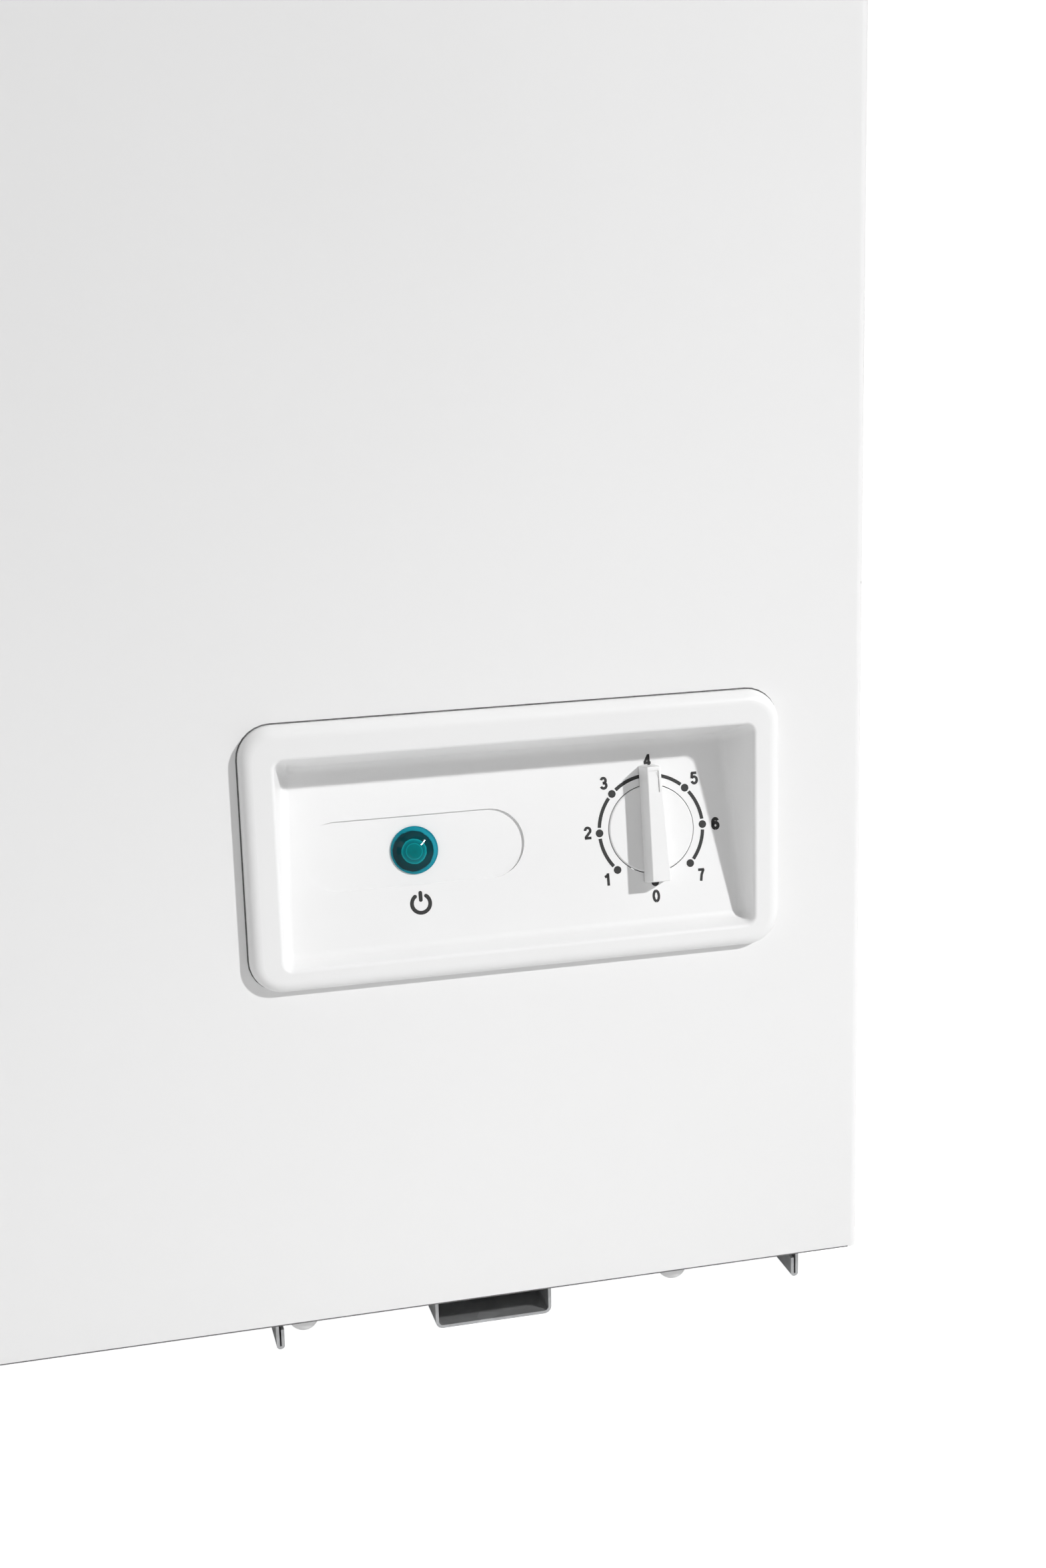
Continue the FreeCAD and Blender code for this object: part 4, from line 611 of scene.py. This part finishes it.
# Painted shade: a dark line along the foot of the front wall stands in for the shade at the
# sheet's lower edge.
EDGE_SHADE_TALL = 0.45 * MM
EDGE_SHADE_IN = 4 * MM
shell_low, shell_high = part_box("outer_shell")
edge_shade_left = shell_low.x + EDGE_SHADE_IN
edge_shade_right = shell_high.x - EDGE_SHADE_IN
edge_shade_top = shell_low.z + EDGE_SHADE_TALL
edge_shade = [(edge_shade_left, shell_low.z), (edge_shade_right, shell_low.z), (edge_shade_right, edge_shade_top),
       (edge_shade_left, edge_shade_top)]
piece("shell_hem", slab_mesh("shell_hem", [edge_shade], INK_LIFT, INK_LIFT + INK_DEEP, wall_place),
      "cabinet", "seam_shade")

KNOB_TURN = math.radians(4)
TILE_OUT = 8.82 * MM
ARROW_X = 0.35
ARROW_LINE = 0.34


def knob_place(across, up, out):
    """A point in the turned knob's frame."""
    turned = Matrix.Rotation(-KNOB_TURN, 2) @ Vector((across, up))
    return plate_place(turned.x, turned.y, out)


# Painted shade: a grey arrow on the knob's top stands in for the shade in its engraved groove.
arrow = [stroke([(ARROW_X, 15.6), (ARROW_X, 18.4)], ARROW_LINE),
         stroke([(ARROW_X - 0.1, 19.0), (ARROW_X - 0.9, 21.0)], ARROW_LINE)]
piece("knob_arrow", slab_mesh("knob_arrow", arrow, TILE_OUT, TILE_OUT + INK_DEEP, knob_place),
      "knob", "engraving")

# ---------------------------------------------------------------- painted shade in the cross recesses of the screws

HEADS = {"base_screws": Vector((0, 0, -1)), "cover_screws": Vector((0, 1, 0)),
         "bracket_screws": Vector((0, 1, 0)), "leaf_screws": Vector((0, 1, 0)),
         "handle_screws": Vector((0, -1, 0)), "thermostat_screws": -INTO}
RECESS_LONG = 1.9 * MM
RECESS_WIDE = 0.42 * MM
RECESS_LOW = 0.01 * MM
RECESS_HIGH = 0.05 * MM
CROWN_BAND = 0.02 * MM


def loose_parts(mesh):
    """Groups of points that faces join."""
    work = bmesh.new()
    work.from_mesh(mesh)
    bmesh.ops.remove_doubles(work, verts=work.verts, dist=WELD)
    left = set(work.verts)
    found = []
    while left:
        stack = [left.pop()]
        group = []
        while stack:
            vertex = stack.pop()
            group.append(vertex.co.copy())
            for edge in vertex.link_edges:
                other = edge.other_vert(vertex)
                if other in left:
                    left.remove(other)
                    stack.append(other)
        found.append(group)
    work.free()
    return found


def cross_mesh(name, places, facing):
    """Plus-shaped marks of painted shade for the cross recess at the middle of each screw
    head.
    """
    side = facing.orthogonal().normalized()
    other = facing.cross(side)
    outline = []
    for turn in range(4):
        quarter = Matrix.Rotation(turn * math.pi / 2, 2)
        for corner in ((RECESS_WIDE, RECESS_WIDE), (RECESS_WIDE, RECESS_LONG),
                       (-RECESS_WIDE, RECESS_LONG)):
            outline.append(quarter @ Vector(corner))
    mesh = bpy.data.meshes.new(name)
    work = bmesh.new()
    for place in places:
        rings = [[work.verts.new(place + side * p.x + other * p.y + facing * deep)
                  for p in outline] for deep in (RECESS_LOW, RECESS_HIGH)]
        work.faces.new(rings[1])
        work.faces.new(rings[0][::-1])
        for index in range(len(outline)):
            after = (index + 1) % len(outline)
            work.faces.new((rings[0][index], rings[0][after],
                            rings[1][after], rings[1][index]))
    bmesh.ops.recalc_face_normals(work, faces=work.faces)
    work.to_mesh(mesh)
    work.free()
    return mesh


# Each screw head gets a plus-shaped mark of painted shade for its cross recess.
for node, facing in HEADS.items():
    places = []
    for group in loose_parts(nodes[node].data):
        top = max(point.dot(facing) for point in group)
        crown = [point for point in group if point.dot(facing) > top - CROWN_BAND]
        middle = sum(group, Vector()) / len(group)
        centre = sum(crown, Vector()) / len(crown)
        places.append(middle + facing * (top - middle.dot(facing))
                      if (centre - middle).cross(facing).length > MM else centre)
    body = nodes[node]["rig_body"]
    piece(node + "_recesses", cross_mesh(node + "_recesses", places, facing), body,
          "recess_dark")

CAP_R = 6.0 * MM
CAP_DEEP = 6.1 * MM
CAP_SEAT = 0.1 * MM
CAP_AROUND = 40
CAP_DOWN = 24


def cap_mesh(name, places):
    """Domed caps that hang under a flat sheet."""
    mesh = bpy.data.meshes.new(name)
    work = bmesh.new()
    for place in places:
        made = bmesh.ops.create_uvsphere(work, u_segments=CAP_AROUND,
                                         v_segments=CAP_DOWN, radius=1)
        bmesh.ops.scale(work, vec=(CAP_R, CAP_R, CAP_DEEP), verts=made["verts"])
        bmesh.ops.translate(work, vec=place, verts=made["verts"])
    seat = places[0].z
    everything = work.verts[:] + work.edges[:] + work.faces[:]
    cut = bmesh.ops.bisect_plane(work, geom=everything, plane_co=(0, 0, seat),
                                 plane_no=(0, 0, 1), clear_outer=True)
    rim = [item for item in cut["geom_cut"] if isinstance(item, bmesh.types.BMEdge)]
    bmesh.ops.holes_fill(work, edges=rim)
    for face in work.faces:
        face.smooth = len(face.verts) <= 4
    work.to_mesh(mesh)
    work.free()
    return mesh


plate_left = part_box("base_plate")[0].x
sheet_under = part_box("support_channel")[1].z
capped = []
for group in loose_parts(nodes["base_screws"].data):
    middle = sum(group, Vector()) / len(group)
    if middle.x > plate_left and middle.y < 0:
        capped.append(Vector((middle.x, middle.y, sheet_under - CAP_SEAT)))
piece("base_screw_caps", cap_mesh("base_screw_caps", capped), "cabinet", "white_plastic")

# ---------------------------------------------------------------- floor, light and camera


def plain_material(name, base, glow, spill):
    """White surface that glows for the camera, and spills a little light."""
    made = bpy.data.materials.new(name)
    made.use_nodes = True
    tree = made.node_tree
    shader = tree.nodes["Principled BSDF"]
    shader.inputs["Base Color"].default_value = (base, base, base, 1)
    shader.inputs["Roughness"].default_value = 0.9
    shader.inputs["Specular IOR Level"].default_value = 0
    emission = tree.nodes.new("ShaderNodeEmission")
    emission.inputs["Strength"].default_value = glow
    rays = tree.nodes.new("ShaderNodeLightPath")
    amount = tree.nodes.new("ShaderNodeMixShader")
    both = tree.nodes.new("ShaderNodeAddShader")
    spilt = tree.nodes.new("ShaderNodeEmission")
    spilt.inputs["Strength"].default_value = spill
    tree.links.new(rays.outputs["Is Camera Ray"], amount.inputs[0])
    tree.links.new(spilt.outputs[0], amount.inputs[1])
    tree.links.new(emission.outputs[0], amount.inputs[2])
    tree.links.new(shader.outputs[0], both.inputs[0])
    tree.links.new(amount.outputs[0], both.inputs[1])
    tree.links.new(both.outputs[0], tree.nodes["Material Output"].inputs["Surface"])
    return made


FLOOR_HALF = 30.0
FLOOR_TONE = 0.8
FLOOR_GLOW = 0.93
FLOOR_SPILL = 0.06
FLOOR_DROP = 0.2 * MM
floor_mesh = bpy.data.meshes.new("floor")
corners = [(x * FLOOR_HALF, y * FLOOR_HALF, 0)
           for x, y in ((-1, -1), (1, -1), (1, 1), (-1, 1))]
floor_mesh.from_pydata(corners, [], [(0, 1, 2, 3)])
floor_mesh.materials.append(plain_material("floor", FLOOR_TONE, FLOOR_GLOW, FLOOR_SPILL))
floor = bpy.data.objects.new("floor", floor_mesh)
floor.location.z = -FLOOR_DROP
bpy.context.scene.collection.objects.link(floor)

world = bpy.data.worlds.new("studio")
bpy.context.scene.world = world
world.use_nodes = True
tree = world.node_tree
AMBIENT = 0.3
BACKDROP = 1.1
soft = tree.nodes["Background"]
soft.inputs["Color"].default_value = (1, 1, 1, 1)
soft.inputs["Strength"].default_value = AMBIENT
seen = tree.nodes.new("ShaderNodeBackground")
seen.inputs["Color"].default_value = (1, 1, 1, 1)
seen.inputs["Strength"].default_value = BACKDROP
rays = tree.nodes.new("ShaderNodeLightPath")
mix = tree.nodes.new("ShaderNodeMixShader")
tree.links.new(rays.outputs["Is Camera Ray"], mix.inputs[0])
tree.links.new(soft.outputs[0], mix.inputs[1])
tree.links.new(seen.outputs[0], mix.inputs[2])
tree.links.new(mix.outputs[0], tree.nodes["World Output"].inputs["Surface"])


def lamp(name, place, aim, size, power):
    """A round soft box that points at a place."""
    data = bpy.data.lights.new(name, "AREA")
    data.shape = "DISK"
    data.size = size
    data.energy = power
    made = bpy.data.objects.new(name, data)
    made.location = place
    made.rotation_euler = (Vector(aim) - Vector(place)).to_track_quat("-Z", "Y").to_euler()
    bpy.context.scene.collection.objects.link(made)
    return made


# The key lamp is small and far, so that its shadows are sharp; its beam is
# narrow and aimed a little low, so that the front is darker at the top.
KEY_WAY = Vector((0.9, -1.0, 0.78))
KEY_DISTANCE = 2.4
KEY_AIM = Vector((-0.05, 0, -0.1))
KEY_SIZE = 0.16
KEY_POWER = 7.0
KEY_SPREAD = math.radians(50)
key = lamp("key", DIAL + KEY_WAY * KEY_DISTANCE, DIAL + KEY_AIM, KEY_SIZE, KEY_POWER)
key.data.spread = KEY_SPREAD

# Each fill lamp has a name, a place, an aim, a size and a power.
FILLS = (("left_fill", (-2.6, -2.2, 2.2), (-0.3, 0, 0.4), 1.6, 6),
         ("side_fill", (-3.0, 0.9, 1.5), (-0.47, 0, 0.4), 1.6, 26),
         ("back_fill", (-1.6, 3.0, 2.4), (0, 0.2, 0.4), 1.6, 40),
         ("top_fill", (0.2, 0.2, 3.4), (0, 0, 0.6), 2.2, 16))
for fill in FILLS:
    lamp(*fill)

CAMERA_AT = (0.16932, -0.96505, 0.39225)
YAW = -0.2362
PITCH = -0.2363
ROLL = 0.0277
LENS_MM = 48.46
SENSOR_MM = 36
CLIP_END = 100
camera = bpy.data.objects.new("camera", bpy.data.cameras.new("camera"))
camera.data.sensor_width = SENSOR_MM
camera.data.lens = LENS_MM
camera.data.clip_end = CLIP_END
turn = (Matrix.Rotation(YAW, 4, "Z") @ Matrix.Rotation(PITCH, 4, "X")
        @ Matrix.Rotation(ROLL, 4, "Y") @ Matrix.Rotation(math.pi / 2, 4, "X"))
camera.matrix_world = Matrix.Translation(CAMERA_AT) @ turn
bpy.context.scene.collection.objects.link(camera)
bpy.context.scene.camera = camera
bpy.context.scene.view_settings.view_transform = "Standard"
bpy.context.scene.view_settings.look = "None"
